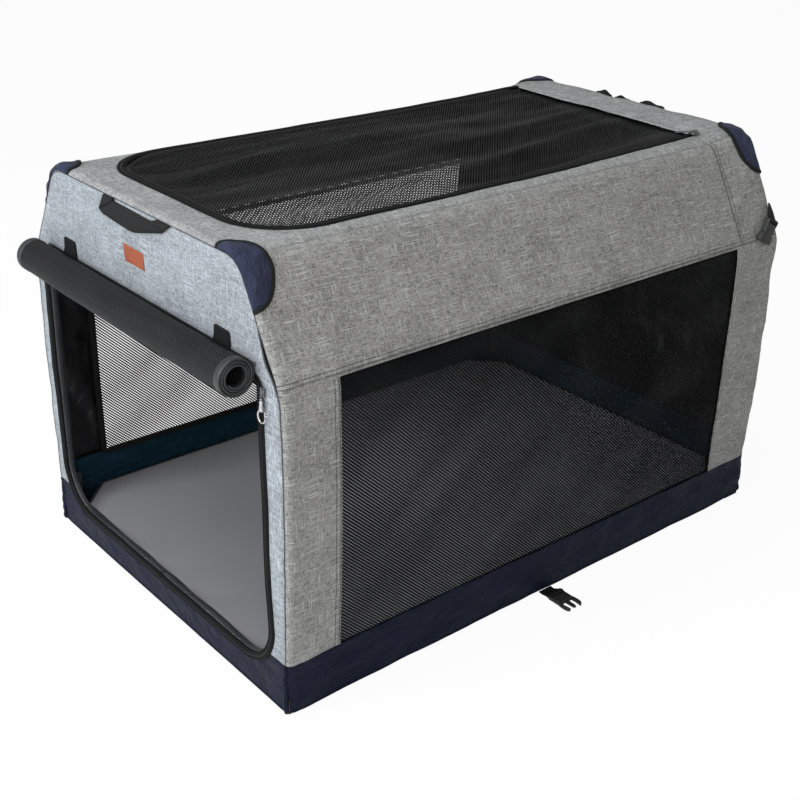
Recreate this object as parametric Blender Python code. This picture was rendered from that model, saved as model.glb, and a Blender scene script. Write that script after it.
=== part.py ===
"""Folding soft dog crate: two tube arches hinged on a tube base, dressed in cloth with mesh windows.

Metres, +Z up. The door end is at -Y, the long window side that shows first is at +X, and the
origin is on the floor under the middle of the crate. "right" is +X, "left" is -X.
"""

import math

import bmesh
import bpy
from mathutils import Matrix, Vector

# Overall size of the set-up crate
CRATE_WIDTH = 0.610
CRATE_LENGTH = 0.910
CRATE_HEIGHT = 0.590
SHOULDER_DEPTH = 0.142
ROOF_WIDTH = 0.452
BAND_HEIGHT = 0.076

# Cloth and clearances
CLOTH = 0.002
NET_THICKNESS = 0.001
SEAM_GAP = 0.0003
FOLD_SEAM_HEIGHT = 0.0803
ZIP_PROUD = 0.001

# Steel tube frame
TUBE_RADIUS = 0.0085
TUBE_WALL = 0.001
TUBE_SIDES = 12
ELBOW_RADIUS = 0.0092
ELBOW_REACH_IN = 0.046
ELBOW_REACH_DOWN = 0.034
LEG_BEND_RADIUS = 0.050
LEG_TO_WALL = 0.005
REAR_ARCH_INSET = 0.018
FRONT_HINGE_HEIGHT = 0.0835
REAR_HINGE_HEIGHT = 0.0600
LEG_END_PAST_PIN = 0.0036

# Moulded corner brackets of the base
BRACKET_SIZE = 0.031
BRACKET_HEIGHT = 0.0217
EAR_THICKNESS = 0.009
EAR_LENGTH = 0.018
PEG_RADIUS = 0.0025
PEG_CLEARANCE = 0.0003
PEG_PAST_LEG = 0.0015

# Floor mat
MAT_TOP = 0.049
MAT_EDGE_GAP = 0.0015
MAT_CORNER_CUT = 0.063
MAT_EDGE_ROUND = 0.008

# Side windows
WINDOW_FRONT_MARGIN = 0.081
WINDOW_REAR_MARGIN = 0.096
NET_RIB = 0.005
WINDOW_GAPS_ALONG = 14
WINDOW_GAPS_UP = 7

# Rear wall
REAR_HEADER_DEPTH = 0.072

# Front door opening, with its zip along the edge
DOOR_SIDE_MARGIN = 0.024
DOOR_BOTTOM = 0.0423
DOOR_TOP_OVER_SHOULDER = 0.0077
DOOR_CORNER = 0.075
DOOR_TOP_CORNER = 0.016
DOOR_ZIP_WIDTH = 0.012
ZIP_DEPTH = 0.003

# Rolled-up door
ROLL_OUTER_RADIUS = 0.0262
ROLL_HOLE_RADIUS = 0.0137
ROLL_TURNS = 3.4
ROLL_CLOTH = 0.0016
ROLL_LEFT_MARGIN = 0.015
ROLL_RIGHT_MARGIN = 0.019
ROLL_TAIL = 0.027
ROLL_POINTS_PER_TURN = 24
TIE_X = 0.188
TIE_WIDTH = 0.036
TIE_HEIGHT = 0.016
TIE_HEIGHT_OVER_TAIL = 0.003

# Roof flap of mesh with its zip on three sides
FLAP_SIDE_MARGIN = 0.032
FLAP_FRONT_MARGIN = 0.058
FLAP_REAR_MARGIN = 0.070
FLAP_CORNER = 0.085
ROOF_ZIP_WIDTH = 0.009
ROOF_GAPS_ACROSS = 7
ROOF_GAPS_ALONG = 14

# Carry handles of webbing
HANDLE_HALF_LENGTH = 0.098
HANDLE_BAND = 0.024
HANDLE_SLOT = 0.009
HANDLE_SLOT_HALF = 0.060
HANDLE_BELOW_ROOF = 0.0055
HANDLE_THICKNESS = 0.003
HANDLE_OFF_CLOTH = 0.0007

# Label patch on the front
LABEL_WIDTH = 0.048
LABEL_HEIGHT = 0.025
LABEL_X = -0.012
LABEL_BELOW_ROOF = 0.0725
LABEL_THICKNESS = 0.001

# Corner wear patches
PATCH_RADIUS = 0.041
PATCH_THICKNESS = 0.001
PATCH_CENTRE_DOWN_SHOULDER = 0.027

# Door zip slider with its trigger snap
SLIDER_SIZE = (0.008, 0.004, 0.012)
DOOR_SLIDER_BELOW_TOP = 0.0167
SNAP_STEM_TOP_RADIUS = 0.0016
SNAP_STEM_FOOT_RADIUS = 0.0030
SNAP_STEM_LENGTH = 0.016
SNAP_WIRE = 0.0011
SNAP_LOOP_WIDTH = 0.0115
SNAP_LOOP_HEIGHT = 0.0155
SNAP_TO_SLIDER = 0.0008
TRIGGER_RADIUS = 0.0008

# Roof zip slider
ROOF_SLIDER_TO_HINGE = 0.019
ROOF_PULL_LENGTH = 0.018

# Side-release buckles for 25 mm webbing, which hold the folded pack
BUCKLE_WIDTH = 0.031
BUCKLE_LENGTH = 0.035
BUCKLE_THICKNESS = 0.009
SOCKET_WIDTH = 0.022
SOCKET_HEIGHT = 0.0052
SOCKET_DEPTH = 0.020
WEBBING_WIDTH = 0.025
WEBBING_THICKNESS = 0.0015
MALE_STRAP = 0.028
MALE_THICKNESS = 0.0075
MALE_LENGTH = 0.032
FEMALE_FROM_REAR = 0.0385
FEMALE_OVER_SHOULDER = 0.018
FEMALE_LEAN = math.radians(28)
TAB_RISE = 0.0124
TAB_TIP_WIDTH = 0.004

# Derived places, worked out from the sizes above
HALF_WIDTH = CRATE_WIDTH / 2
HALF_LENGTH = CRATE_LENGTH / 2
HALF_ROOF = ROOF_WIDTH / 2
WALL_INSIDE = HALF_WIDTH - CLOTH
END_INSIDE = HALF_LENGTH - CLOTH
ROOF_TOP = CRATE_HEIGHT - ZIP_PROUD
ROOF_UNDER = ROOF_TOP - CLOTH
BASE_TUBE_HEIGHT = CLOTH + SEAM_GAP + TUBE_RADIUS
BASE_TUBE_X = WALL_INSIDE - SEAM_GAP - TUBE_RADIUS
BASE_TUBE_Y = END_INSIDE - SEAM_GAP - TUBE_RADIUS
BRACKET_OUTER_X = WALL_INSIDE - SEAM_GAP
BRACKET_OUTER_Y = END_INSIDE - SEAM_GAP
BRACKET_INNER_X = BRACKET_OUTER_X - BRACKET_SIZE
BRACKET_INNER_Y = BRACKET_OUTER_Y - BRACKET_SIZE
ARCH_Y = END_INSIDE - SEAM_GAP - ELBOW_RADIUS
FRONT_LEG_X = WALL_INSIDE - LEG_TO_WALL - TUBE_RADIUS
REAR_LEG_X = FRONT_LEG_X - REAR_ARCH_INSET
TOP_BAR_HEIGHT = ROOF_UNDER - SEAM_GAP - ELBOW_RADIUS
SHOULDER_HEIGHT = CRATE_HEIGHT - SHOULDER_DEPTH
SHOULDER_SLOPE = math.atan2(HALF_WIDTH - HALF_ROOF, ROOF_TOP - SHOULDER_HEIGHT)
WINDOW_FRONT_Y = -HALF_LENGTH + WINDOW_FRONT_MARGIN
WINDOW_REAR_Y = HALF_LENGTH - WINDOW_REAR_MARGIN
REAR_HEADER_SEAM = ROOF_UNDER - REAR_HEADER_DEPTH
DOOR_WIDTH = CRATE_WIDTH - 2 * DOOR_SIDE_MARGIN
DOOR_TOP = SHOULDER_HEIGHT + DOOR_TOP_OVER_SHOULDER
ROLL_LEFT_END = -DOOR_WIDTH / 2 + ROLL_LEFT_MARGIN
ROLL_RIGHT_END = DOOR_WIDTH / 2 - ROLL_RIGHT_MARGIN
DOOR_SLIDER_HEIGHT = DOOR_TOP - DOOR_SLIDER_BELOW_TOP
FLAP_HALF_WIDTH = HALF_ROOF - FLAP_SIDE_MARGIN
FLAP_FRONT_Y = -HALF_LENGTH + FLAP_FRONT_MARGIN
FLAP_REAR_Y = HALF_LENGTH - FLAP_REAR_MARGIN
ROOF_SLIDER_Y = FLAP_REAR_Y - ROOF_SLIDER_TO_HINGE
HANDLE_TOP = ROOF_TOP - HANDLE_BELOW_ROOF
FEMALE_CENTRE = (HALF_LENGTH - FEMALE_FROM_REAR, SHOULDER_HEIGHT + FEMALE_OVER_SHOULDER)
DOOR_FACE_Y = -HALF_LENGTH - ZIP_PROUD - SEAM_GAP


def clear_scene():
    for obj in list(bpy.data.objects):
        bpy.data.objects.remove(obj, do_unlink=True)


# Materials

PALETTE = {
    "front_cloth": ((0.52, 0.56, 0.60), 0.90, 0.0),
    "side_cloth": ((0.29, 0.29, 0.28), 0.90, 0.0),
    "navy_cloth": ((0.016, 0.021, 0.042), 0.75, 0.0),
    "black_mesh": ((0.012, 0.012, 0.013), 0.80, 0.0),
    "black_webbing": ((0.010, 0.010, 0.011), 0.70, 0.0),
    "mat_cloth": ((0.135, 0.132, 0.140), 0.85, 0.0),
    "label_leather": ((0.48, 0.10, 0.04), 0.60, 0.0),
    "steel_tube": ((0.05, 0.05, 0.05), 0.45, 0.6),
    "black_plastic": ((0.015, 0.015, 0.016), 0.45, 0.0),
    "chrome": ((0.75, 0.74, 0.72), 0.20, 1.0),
}


def material(name):
    """The named finish as a Principled material, made once."""
    found = bpy.data.materials.get(name)
    if found:
        return found
    colour, roughness, metallic = PALETTE[name]
    made = bpy.data.materials.new(name)
    made.use_nodes = True
    shader = made.node_tree.nodes["Principled BSDF"]
    shader.inputs["Base Color"].default_value = (*colour, 1.0)
    shader.inputs["Roughness"].default_value = roughness
    shader.inputs["Metallic"].default_value = metallic
    return made


# Mesh helpers

FACING_FRONT = Matrix(((1, 0, 0, 0), (0, 0, -1, 0), (0, 1, 0, 0), (0, 0, 0, 1)))
FACING_SIDE = Matrix(((0, 0, 1, 0), (1, 0, 0, 0), (0, 1, 0, 0), (0, 0, 0, 1)))
FACING_UP = Matrix.Identity(4)


def mesh_object(name, mesh, finish=None, origin=(0, 0, 0)):
    """A mesh given in world places becomes an object whose origin is at origin."""
    mesh.transform(Matrix.Translation(-Vector(origin)))
    obj = bpy.data.objects.new(name, mesh)
    obj.location = origin
    bpy.context.scene.collection.objects.link(obj)
    if finish:
        mesh.materials.append(material(finish))
    return obj


def from_faces(name, points, faces, finish=None, origin=(0, 0, 0)):
    mesh = bpy.data.meshes.new(name)
    mesh.from_pydata(points, [], faces)
    work = bmesh.new()
    work.from_mesh(mesh)
    bmesh.ops.recalc_face_normals(work, faces=work.faces)
    work.to_mesh(mesh)
    work.free()
    return mesh_object(name, mesh, finish, origin)


def box_mesh(low, high):
    work = bmesh.new()
    bmesh.ops.create_cube(work, size=1.0)
    centre = (Vector(low) + Vector(high)) / 2
    size = Vector(high) - Vector(low)
    bmesh.ops.scale(work, vec=size, verts=work.verts)
    bmesh.ops.translate(work, vec=centre, verts=work.verts)
    mesh = bpy.data.meshes.new("box")
    work.to_mesh(mesh)
    work.free()
    return mesh


def box(name, low, high, finish=None, origin=(0, 0, 0)):
    return mesh_object(name, box_mesh(low, high), finish, origin)


def cylinder(name, start, end, radius, sides=24, end_radius=None, finish=None, origin=(0, 0, 0)):
    start, end = Vector(start), Vector(end)
    along = end - start
    work = bmesh.new()
    bmesh.ops.create_cone(
        work,
        cap_ends=True,
        segments=sides,
        radius1=radius,
        radius2=radius if end_radius is None else end_radius,
        depth=along.length,
    )
    turn = along.to_track_quat("Z", "Y").to_matrix().to_4x4()
    bmesh.ops.transform(work, matrix=Matrix.Translation((start + end) / 2) @ turn, verts=work.verts)
    mesh = bpy.data.meshes.new(name)
    work.to_mesh(mesh)
    work.free()
    return mesh_object(name, mesh, finish, origin)


def helper(obj):
    """A shape that only cuts or joins others."""
    obj.hide_render = True
    obj.display_type = "WIRE"
    return obj


def combine(obj, other, operation="DIFFERENCE"):
    helper(other)
    change = obj.modifiers.new(operation.title() + " " + other.name, "BOOLEAN")
    change.operation = operation
    change.object = other
    return obj


def settled_mesh(obj):
    """The evaluated mesh of a curve object in world places, closed; the curve object is removed."""
    bpy.context.view_layer.update()
    evaluated = obj.evaluated_get(bpy.context.evaluated_depsgraph_get())
    mesh = bpy.data.meshes.new_from_object(evaluated)
    mesh.transform(obj.matrix_world)
    mesh.materials.clear()
    bpy.data.objects.remove(obj, do_unlink=True)
    work = bmesh.new()
    work.from_mesh(mesh)
    bmesh.ops.remove_doubles(work, verts=work.verts, dist=1e-6)
    bmesh.ops.recalc_face_normals(work, faces=work.faces)
    work.to_mesh(mesh)
    work.free()
    return mesh


def plate(name, outlines, thickness, facing, middle, finish=None, origin=(0, 0, 0)):
    """A flat sheet: the first outline is its edge and the others are its holes.

    facing turns the outline's own X and Y onto the wall, and middle is where the sheet's
    middle plane lies along the third direction, as a world vector.
    """
    curve = bpy.data.curves.new(name, "CURVE")
    curve.dimensions = "2D"
    curve.fill_mode = "BOTH"
    curve.extrude = thickness / 2
    for outline in outlines:
        spline = curve.splines.new("POLY")
        spline.points.add(len(outline) - 1)
        for point, (x, y) in zip(spline.points, outline):
            point.co = (x, y, 0, 1)
        spline.use_cyclic_u = True
    flat = bpy.data.objects.new(name, curve)
    flat.matrix_world = Matrix.Translation(middle) @ facing
    bpy.context.scene.collection.objects.link(flat)
    return mesh_object(name, settled_mesh(flat), finish, origin)


def rod(name, points, radius, finish=None, origin=(0, 0, 0), resolution=2):
    """A solid round rod along points."""
    curve = bpy.data.curves.new(name, "CURVE")
    curve.dimensions = "3D"
    curve.bevel_depth = radius
    curve.bevel_resolution = resolution
    curve.use_fill_caps = True
    spline = curve.splines.new("POLY")
    spline.points.add(len(points) - 1)
    for point, place in zip(spline.points, points):
        point.co = (*place, 1)
    line = bpy.data.objects.new(name, curve)
    bpy.context.scene.collection.objects.link(line)
    obj = mesh_object(name, settled_mesh(line), finish, origin)
    smooth(obj)
    return obj


def smooth(obj, angle=40):
    obj.data.shade_smooth()
    obj.data.set_sharp_from_angle(angle=math.radians(angle))
    return obj


def tube(name, points, across, radius, wall, finish, origin=(0, 0, 0)):
    """An open steel tube along points, which all lie in a plane with normal across."""
    across = Vector(across)
    places = [Vector(p) for p in points]
    rings = []
    for i, place in enumerate(places):
        ahead = places[min(i + 1, len(places) - 1)] - places[max(i - 1, 0)]
        side = ahead.normalized().cross(across)
        for size in (radius, radius - wall):
            ring = []
            for k in range(TUBE_SIDES):
                turn = 2 * math.pi * k / TUBE_SIDES
                ring.append(place + size * (math.cos(turn) * side + math.sin(turn) * across))
            rings.append(ring)
    vertices = [v for ring in rings for v in ring]
    faces = []
    for k in range(TUBE_SIDES):
        n = (k + 1) % TUBE_SIDES
        for i in range(len(places) - 1):
            for shell in (0, 1):
                a, b = (2 * i + shell) * TUBE_SIDES, (2 * i + 2 + shell) * TUBE_SIDES
                faces.append((a + k, a + n, b + n, b + k))
        for i in (0, len(places) - 1):
            a, b = 2 * i * TUBE_SIDES, (2 * i + 1) * TUBE_SIDES
            faces.append((a + k, a + n, b + n, b + k))
    return smooth(from_faces(name, vertices, faces, finish, origin))


# Outlines

def rounded(points, radii, steps=8):
    """The polygon with its corners turned into arcs, each with its own radius."""
    made = []
    count = len(points)
    for i in range(count):
        here = Vector(points[i])
        before = (Vector(points[i - 1]) - here).normalized()
        after = (Vector(points[(i + 1) % count]) - here).normalized()
        radius = radii[i] if isinstance(radii, (list, tuple)) else radii
        if radius <= 0:
            made.append(tuple(here))
            continue
        half = before.angle(after) / 2
        back = radius / math.tan(half)
        centre = here + (before + after).normalized() * (radius / math.sin(half))
        start = here + before * back - centre
        sweep = (here + after * back - centre).angle_signed(start)
        for k in range(steps + 1):
            turn = sweep * k / steps
            made.append(tuple(centre + Matrix.Rotation(turn, 2) @ start))
    return made


def rectangle(x_low, y_low, x_high, y_high):
    return [(x_low, y_low), (x_high, y_low), (x_high, y_high), (x_low, y_high)]


def rounded_rectangle(x_low, y_low, x_high, y_high, radius):
    return rounded(rectangle(x_low, y_low, x_high, y_high), radius)


def bend_arc(corner, before, after, radius, steps=6):
    """Points of an arc that rounds the corner between two straight runs in space."""
    corner = Vector(corner)
    towards_before = (Vector(before) - corner).normalized()
    towards_after = (Vector(after) - corner).normalized()
    half = towards_before.angle(towards_after) / 2
    back = radius / math.tan(half)
    middle = (towards_before + towards_after).normalized()
    centre = corner + middle * (radius / math.sin(half))
    first = corner + towards_before * back - centre
    last = corner + towards_after * back - centre
    return [centre + radius * first.slerp(last, k / steps) for k in range(steps + 1)]


def net_gaps(x_low, y_low, x_high, y_high, across, along, keep):
    """Square holes of a flat net, left out where keep says that the cloth goes on."""
    step_x = (x_high - x_low) / across
    step_y = (y_high - y_low) / along
    gaps = []
    for i in range(across):
        for j in range(along):
            low = (x_low + i * step_x + NET_RIB / 2, y_low + j * step_y + NET_RIB / 2)
            high = (low[0] + step_x - NET_RIB, low[1] + step_y - NET_RIB)
            if keep(low, high):
                gaps.append(rectangle(*low, *high))
    return gaps


def shoulder_x(height, inset=0.0):
    """Half width of the crate's section at a height, less an inset square to the shoulder."""
    if height <= SHOULDER_HEIGHT:
        return HALF_WIDTH - inset
    slope = math.tan(SHOULDER_SLOPE)
    return HALF_WIDTH - (height - SHOULDER_HEIGHT) * slope - inset / math.cos(SHOULDER_SLOPE)


# Base: tubes, corner brackets, floor cloth, navy bands and mat

def base_frame():
    for side, sign in (("right", 1), ("left", -1)):
        ends = [(sign * BASE_TUBE_X, y, BASE_TUBE_HEIGHT) for y in (-1, 1)]
        ends = [(x, y * (BRACKET_INNER_Y - SEAM_GAP), z) for x, y, z in ends]
        tube("base_side_tube_" + side, ends, (1, 0, 0), TUBE_RADIUS, TUBE_WALL, "steel_tube")
    for end, sign in (("front", -1), ("rear", 1)):
        reach = BRACKET_INNER_X - SEAM_GAP
        ends = [(x, sign * BASE_TUBE_Y, BASE_TUBE_HEIGHT) for x in (-reach, reach)]
        tube("base_cross_tube_" + end, ends, (0, 1, 0), TUBE_RADIUS, TUBE_WALL, "steel_tube")


def corner_bracket(end, side):
    """A moulded corner: a block that holds the tubes, an ear beside the leg, and the pivot peg."""
    y_sign = {"front": -1, "rear": 1}[end]
    x_sign = {"right": 1, "left": -1}[side]
    leg_x, hinge = (
        (FRONT_LEG_X, FRONT_HINGE_HEIGHT) if end == "front" else (REAR_LEG_X, REAR_HINGE_HEIGHT)
    )
    bottom = CLOTH + SEAM_GAP
    name = "corner_bracket_" + end + "_" + side
    low_y, high_y = sorted((y_sign * BRACKET_INNER_Y, y_sign * BRACKET_OUTER_Y))
    low_x, high_x = sorted((x_sign * BRACKET_INNER_X, x_sign * BRACKET_OUTER_X))
    bracket = box(
        name, (low_x, low_y, bottom), (high_x, high_y, bottom + BRACKET_HEIGHT), "black_plastic"
    )
    ear_near = leg_x - TUBE_RADIUS - PEG_CLEARANCE if end == "front" else leg_x + TUBE_RADIUS
    ear_near += 0.0 if end == "front" else PEG_CLEARANCE
    ear_far = ear_near - EAR_THICKNESS if end == "front" else ear_near + EAR_THICKNESS
    outline = rounded(
        rectangle(-EAR_LENGTH / 2, bottom + BRACKET_HEIGHT / 2, EAR_LENGTH / 2, hinge + EAR_LENGTH / 2),
        [0, 0, EAR_LENGTH / 2.05, EAR_LENGTH / 2.05],
        6,
    )
    middle = (x_sign * (ear_near + ear_far) / 2, y_sign * ARCH_Y, 0)
    ear = plate(name + "_ear", [outline], EAR_THICKNESS, FACING_SIDE, middle)
    inside = (ear_near + ear_far) / 2
    past = leg_x + math.copysign(TUBE_RADIUS + PEG_PAST_LEG, leg_x - inside)
    peg = cylinder(
        name + "_peg",
        (x_sign * inside, y_sign * ARCH_Y, hinge),
        (x_sign * past, y_sign * ARCH_Y, hinge),
        PEG_RADIUS,
        12,
    )
    combine(bracket, ear, "UNION")
    combine(bracket, peg, "UNION")


def base_cloth():
    plate(
        "floor_panel",
        [rounded_rectangle(-HALF_WIDTH, -HALF_LENGTH, HALF_WIDTH, HALF_LENGTH, 0.012)],
        CLOTH,
        FACING_UP,
        (0, 0, CLOTH / 2),
        "navy_cloth",
    )
    low, high = CLOTH + SEAM_GAP, BAND_HEIGHT
    for side, sign in (("right", 1), ("left", -1)):
        outline = rectangle(-HALF_LENGTH, low, HALF_LENGTH, high)
        middle = (sign * (HALF_WIDTH - CLOTH / 2), 0, 0)
        plate("band_" + side, [outline], CLOTH, FACING_SIDE, middle, "navy_cloth")
    reach = WALL_INSIDE - SEAM_GAP
    for end, sign in (("front", -1), ("rear", 1)):
        outline = rectangle(-reach, low, reach, FOLD_SEAM_HEIGHT - SEAM_GAP)
        middle = (0, sign * (HALF_LENGTH - CLOTH / 2), 0)
        band = plate("band_" + end, [outline], CLOTH, FACING_FRONT, middle, "navy_cloth")
        if end == "front":
            combine(band, door_cutter("band_front_door_cut"))


def floor_mat():
    reach_x, reach_y = WALL_INSIDE - MAT_EDGE_GAP, END_INSIDE - MAT_EDGE_GAP
    cut = MAT_CORNER_CUT
    outline = []
    for x_sign, y_sign in ((1, -1), (1, 1), (-1, 1), (-1, -1)):
        near_side = (x_sign * reach_x, y_sign * (reach_y - cut))
        near_end = (x_sign * (reach_x - cut), y_sign * reach_y)
        outline += [near_end, near_side] if x_sign * y_sign < 0 else [near_side, near_end]
    bottom = BASE_TUBE_HEIGHT + TUBE_RADIUS + SEAM_GAP
    mat = plate(
        "floor_mat",
        [rounded(outline, 0.02, 4)],
        MAT_TOP - bottom,
        FACING_UP,
        (0, 0, (MAT_TOP + bottom) / 2),
        "mat_cloth",
    )
    soft_edge = mat.modifiers.new("Soft edge", "BEVEL")
    soft_edge.width = MAT_EDGE_ROUND
    soft_edge.segments = 3
    soft_edge.limit_method = "ANGLE"
    soft_edge.angle_limit = math.radians(60)


# Side walls, shoulders and their mesh windows

def side_wall(side):
    sign = {"right": 1, "left": -1}[side]
    middle = (sign * (HALF_WIDTH - CLOTH / 2), 0, 0)
    low = BAND_HEIGHT + SEAM_GAP
    high = SHOULDER_HEIGHT
    strips = (("front", -HALF_LENGTH, WINDOW_FRONT_Y), ("rear", WINDOW_REAR_Y, HALF_LENGTH))
    for end, start, stop in strips:
        name = "side_strip_" + end + "_" + side
        plate(name, [rectangle(start, low, stop, high)], CLOTH, FACING_SIDE, middle, "side_cloth")
    edge = (WINDOW_FRONT_Y + SEAM_GAP, low, WINDOW_REAR_Y - SEAM_GAP, high)
    holes = net_gaps(*edge, WINDOW_GAPS_ALONG, WINDOW_GAPS_UP, lambda low_corner, high_corner: True)
    outlines = [rectangle(*edge)] + holes
    plate("window_mesh_" + side, outlines, NET_THICKNESS, FACING_SIDE, middle, "black_mesh")


def shoulder(side):
    """The sloped cloth from the top of the side wall to the roof."""
    sign = {"right": 1, "left": -1}[side]
    low, high = SHOULDER_HEIGHT + SEAM_GAP, ROOF_UNDER - SEAM_GAP
    inner = CLOTH
    section = [
        (shoulder_x(low), low),
        (shoulder_x(high), high),
        (shoulder_x(high, inner), high),
        (shoulder_x(low, inner), low),
    ]
    points = [(sign * x, y, z) for y in (-HALF_LENGTH, HALF_LENGTH) for x, z in section]
    faces = [(0, 1, 2, 3), (4, 5, 6, 7)]
    faces += [(i, (i + 1) % 4, 4 + (i + 1) % 4, 4 + i) for i in range(4)]
    from_faces("shoulder_" + side, points, faces, "side_cloth")


# Roof with its mesh flap and zip

def roof_opening(grow):
    """Outline of the roof opening, grown outwards: square at the sewn rear edge, round in front."""
    return rounded(
        rectangle(
            -FLAP_HALF_WIDTH - grow, FLAP_FRONT_Y - grow, FLAP_HALF_WIDTH + grow, FLAP_REAR_Y
        ),
        [FLAP_CORNER + grow, FLAP_CORNER + grow, 0, 0],
    )


def roof():
    outer = rectangle(-HALF_ROOF, -HALF_LENGTH, HALF_ROOF, HALF_LENGTH)
    hole = roof_opening(ROOF_ZIP_WIDTH + SEAM_GAP)
    hole = [(x, y + (SEAM_GAP if y > FLAP_REAR_Y - 1e-6 else 0)) for x, y in hole]
    middle = (0, 0, ROOF_TOP - CLOTH / 2)
    plate("roof_panel", [outer, hole], CLOTH, FACING_UP, middle, "front_cloth")


def roof_zip():
    track = roof_opening(ROOF_ZIP_WIDTH)
    inner = [(x, y + (0.01 if y > FLAP_REAR_Y - 1e-6 else 0)) for x, y in roof_opening(SEAM_GAP)]
    middle = (0, 0, CRATE_HEIGHT - ZIP_DEPTH / 2)
    strip = plate("roof_zip", [track], ZIP_DEPTH, FACING_UP, middle, "black_webbing")
    cutter = plate("roof_zip_inside", [inner], 3 * ZIP_DEPTH, FACING_UP, middle)
    combine(strip, cutter)


def roof_flap():
    def in_the_round_corner(low_corner, high_corner):
        x = max(abs(low_corner[0]), abs(high_corner[0])) + NET_RIB
        y = low_corner[1] - NET_RIB
        centre_x, centre_y = FLAP_HALF_WIDTH - FLAP_CORNER, FLAP_FRONT_Y + FLAP_CORNER
        if x < centre_x or y > centre_y:
            return False
        return math.hypot(x - centre_x, y - centre_y) > FLAP_CORNER

    edge = (-FLAP_HALF_WIDTH, FLAP_FRONT_Y, FLAP_HALF_WIDTH, FLAP_REAR_Y)
    holes = net_gaps(
        *edge, ROOF_GAPS_ACROSS, ROOF_GAPS_ALONG, lambda low, high: not in_the_round_corner(low, high)
    )
    hinge = (0, FLAP_REAR_Y, ROOF_TOP)
    middle = (0, 0, ROOF_TOP - CLOTH / 2)
    outlines = [roof_opening(0)] + holes
    plate("roof_mesh_flap", outlines, NET_THICKNESS, FACING_UP, middle, "black_mesh", hinge)


def roof_zip_slider():
    x = FLAP_HALF_WIDTH + ROOF_ZIP_WIDTH / 2
    width, thickness, length = SLIDER_SIZE
    low = CRATE_HEIGHT + SEAM_GAP
    origin = (x, ROOF_SLIDER_Y, low)
    slider = box(
        "roof_zip_slider",
        (x - width / 2, ROOF_SLIDER_Y - length / 2, low),
        (x + width / 2, ROOF_SLIDER_Y + length / 2, low + thickness),
        "black_plastic",
        origin,
    )
    pull = box(
        "roof_zip_pull",
        (x - width / 4, ROOF_SLIDER_Y - length / 2 - ROOF_PULL_LENGTH, low + thickness * 0.4),
        (x + width / 4, ROOF_SLIDER_Y, low + thickness * 0.8),
    )
    combine(slider, pull, "UNION")


# Arches: bent legs, elbows and a top bar, with the end wall's cloth

def arch(end):
    y = {"front": -ARCH_Y, "rear": ARCH_Y}[end]
    hinge = {"front": FRONT_HINGE_HEIGHT, "rear": REAR_HINGE_HEIGHT}[end]
    leg_x = {"front": FRONT_LEG_X, "rear": REAR_LEG_X}[end]
    inset = {"front": 0.0, "rear": REAR_ARCH_INSET}[end]
    top = TOP_BAR_HEIGHT - inset
    corner_x = shoulder_x(TOP_BAR_HEIGHT) - (HALF_WIDTH - leg_x)
    bend_height = SHOULDER_HEIGHT - 0.35 * (HALF_WIDTH - leg_x)
    origin = (0, y, hinge)
    foot = hinge - LEG_END_PAST_PIN
    for side, sign in (("right", 1), ("left", -1)):
        lowest = Vector((sign * leg_x, y, foot))
        bend = Vector((sign * leg_x, y, bend_height))
        corner = Vector((sign * corner_x, y, top))
        down = (bend - corner).normalized()
        inward = Vector((-sign, 0, 0))
        leg_top = corner + down * ELBOW_REACH_DOWN
        path = [lowest, *bend_arc(bend, lowest, corner, LEG_BEND_RADIUS, 4), leg_top]
        leg = tube(
            end + "_leg_" + side, path, (0, 1, 0), TUBE_RADIUS, TUBE_WALL, "steel_tube", origin
        )
        reach = TUBE_RADIUS * 2
        hole = cylinder(
            end + "_leg_hole_" + side,
            (sign * (leg_x - reach), y, hinge),
            (sign * (leg_x + reach), y, hinge),
            PEG_RADIUS + PEG_CLEARANCE,
            12,
        )
        combine(leg, hole)
        start = leg_top - down * SEAM_GAP
        finish = corner + inward * ELBOW_REACH_IN
        round_corner = bend_arc(corner, start, finish, ELBOW_RADIUS * 2.2, 6)
        rod(
            end + "_elbow_" + side,
            [start, *round_corner, finish],
            ELBOW_RADIUS,
            "black_plastic",
            origin,
            3,
        )
    reach = corner_x - ELBOW_REACH_IN - SEAM_GAP
    ends = [(-reach, y, top), (reach, y, top)]
    tube(end + "_top_bar", ends, (0, 1, 0), TUBE_RADIUS, TUBE_WALL, "steel_tube", origin)


def end_section(low, high):
    """Outline of an end wall between two heights, inside the side walls and shoulders."""
    inset = CLOTH + SEAM_GAP
    right = [(shoulder_x(low, inset), low)]
    if low < SHOULDER_HEIGHT < high:
        right.append((shoulder_x(SHOULDER_HEIGHT, inset), SHOULDER_HEIGHT - SEAM_GAP))
    right.append((shoulder_x(high, inset), high))
    return right + [(-x, z) for x, z in reversed(right)]


def door_outline(inset):
    """The door's edge, or a line inside it: wide curves at the foot and tight ones at the top."""
    half = DOOR_WIDTH / 2 - inset
    foot, top = DOOR_CORNER - inset, DOOR_TOP_CORNER - inset
    edge = rectangle(-half, DOOR_BOTTOM + inset, half, DOOR_TOP - inset)
    return rounded(edge, [foot, foot, top, top])


def door_cutter(name):
    middle = (0, -HALF_LENGTH, 0)
    return plate(name, [door_outline(-SEAM_GAP)], 10 * CLOTH, FACING_FRONT, middle)


def front_wall():
    origin = (0, -ARCH_Y, FRONT_HINGE_HEIGHT)
    middle = (0, -HALF_LENGTH + CLOTH / 2, 0)
    outline = end_section(FOLD_SEAM_HEIGHT, ROOF_UNDER - SEAM_GAP)
    wall = plate("front_panel", [outline], CLOTH, FACING_FRONT, middle, "front_cloth", origin)
    combine(wall, door_cutter("front_panel_door_cut"))


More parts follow.
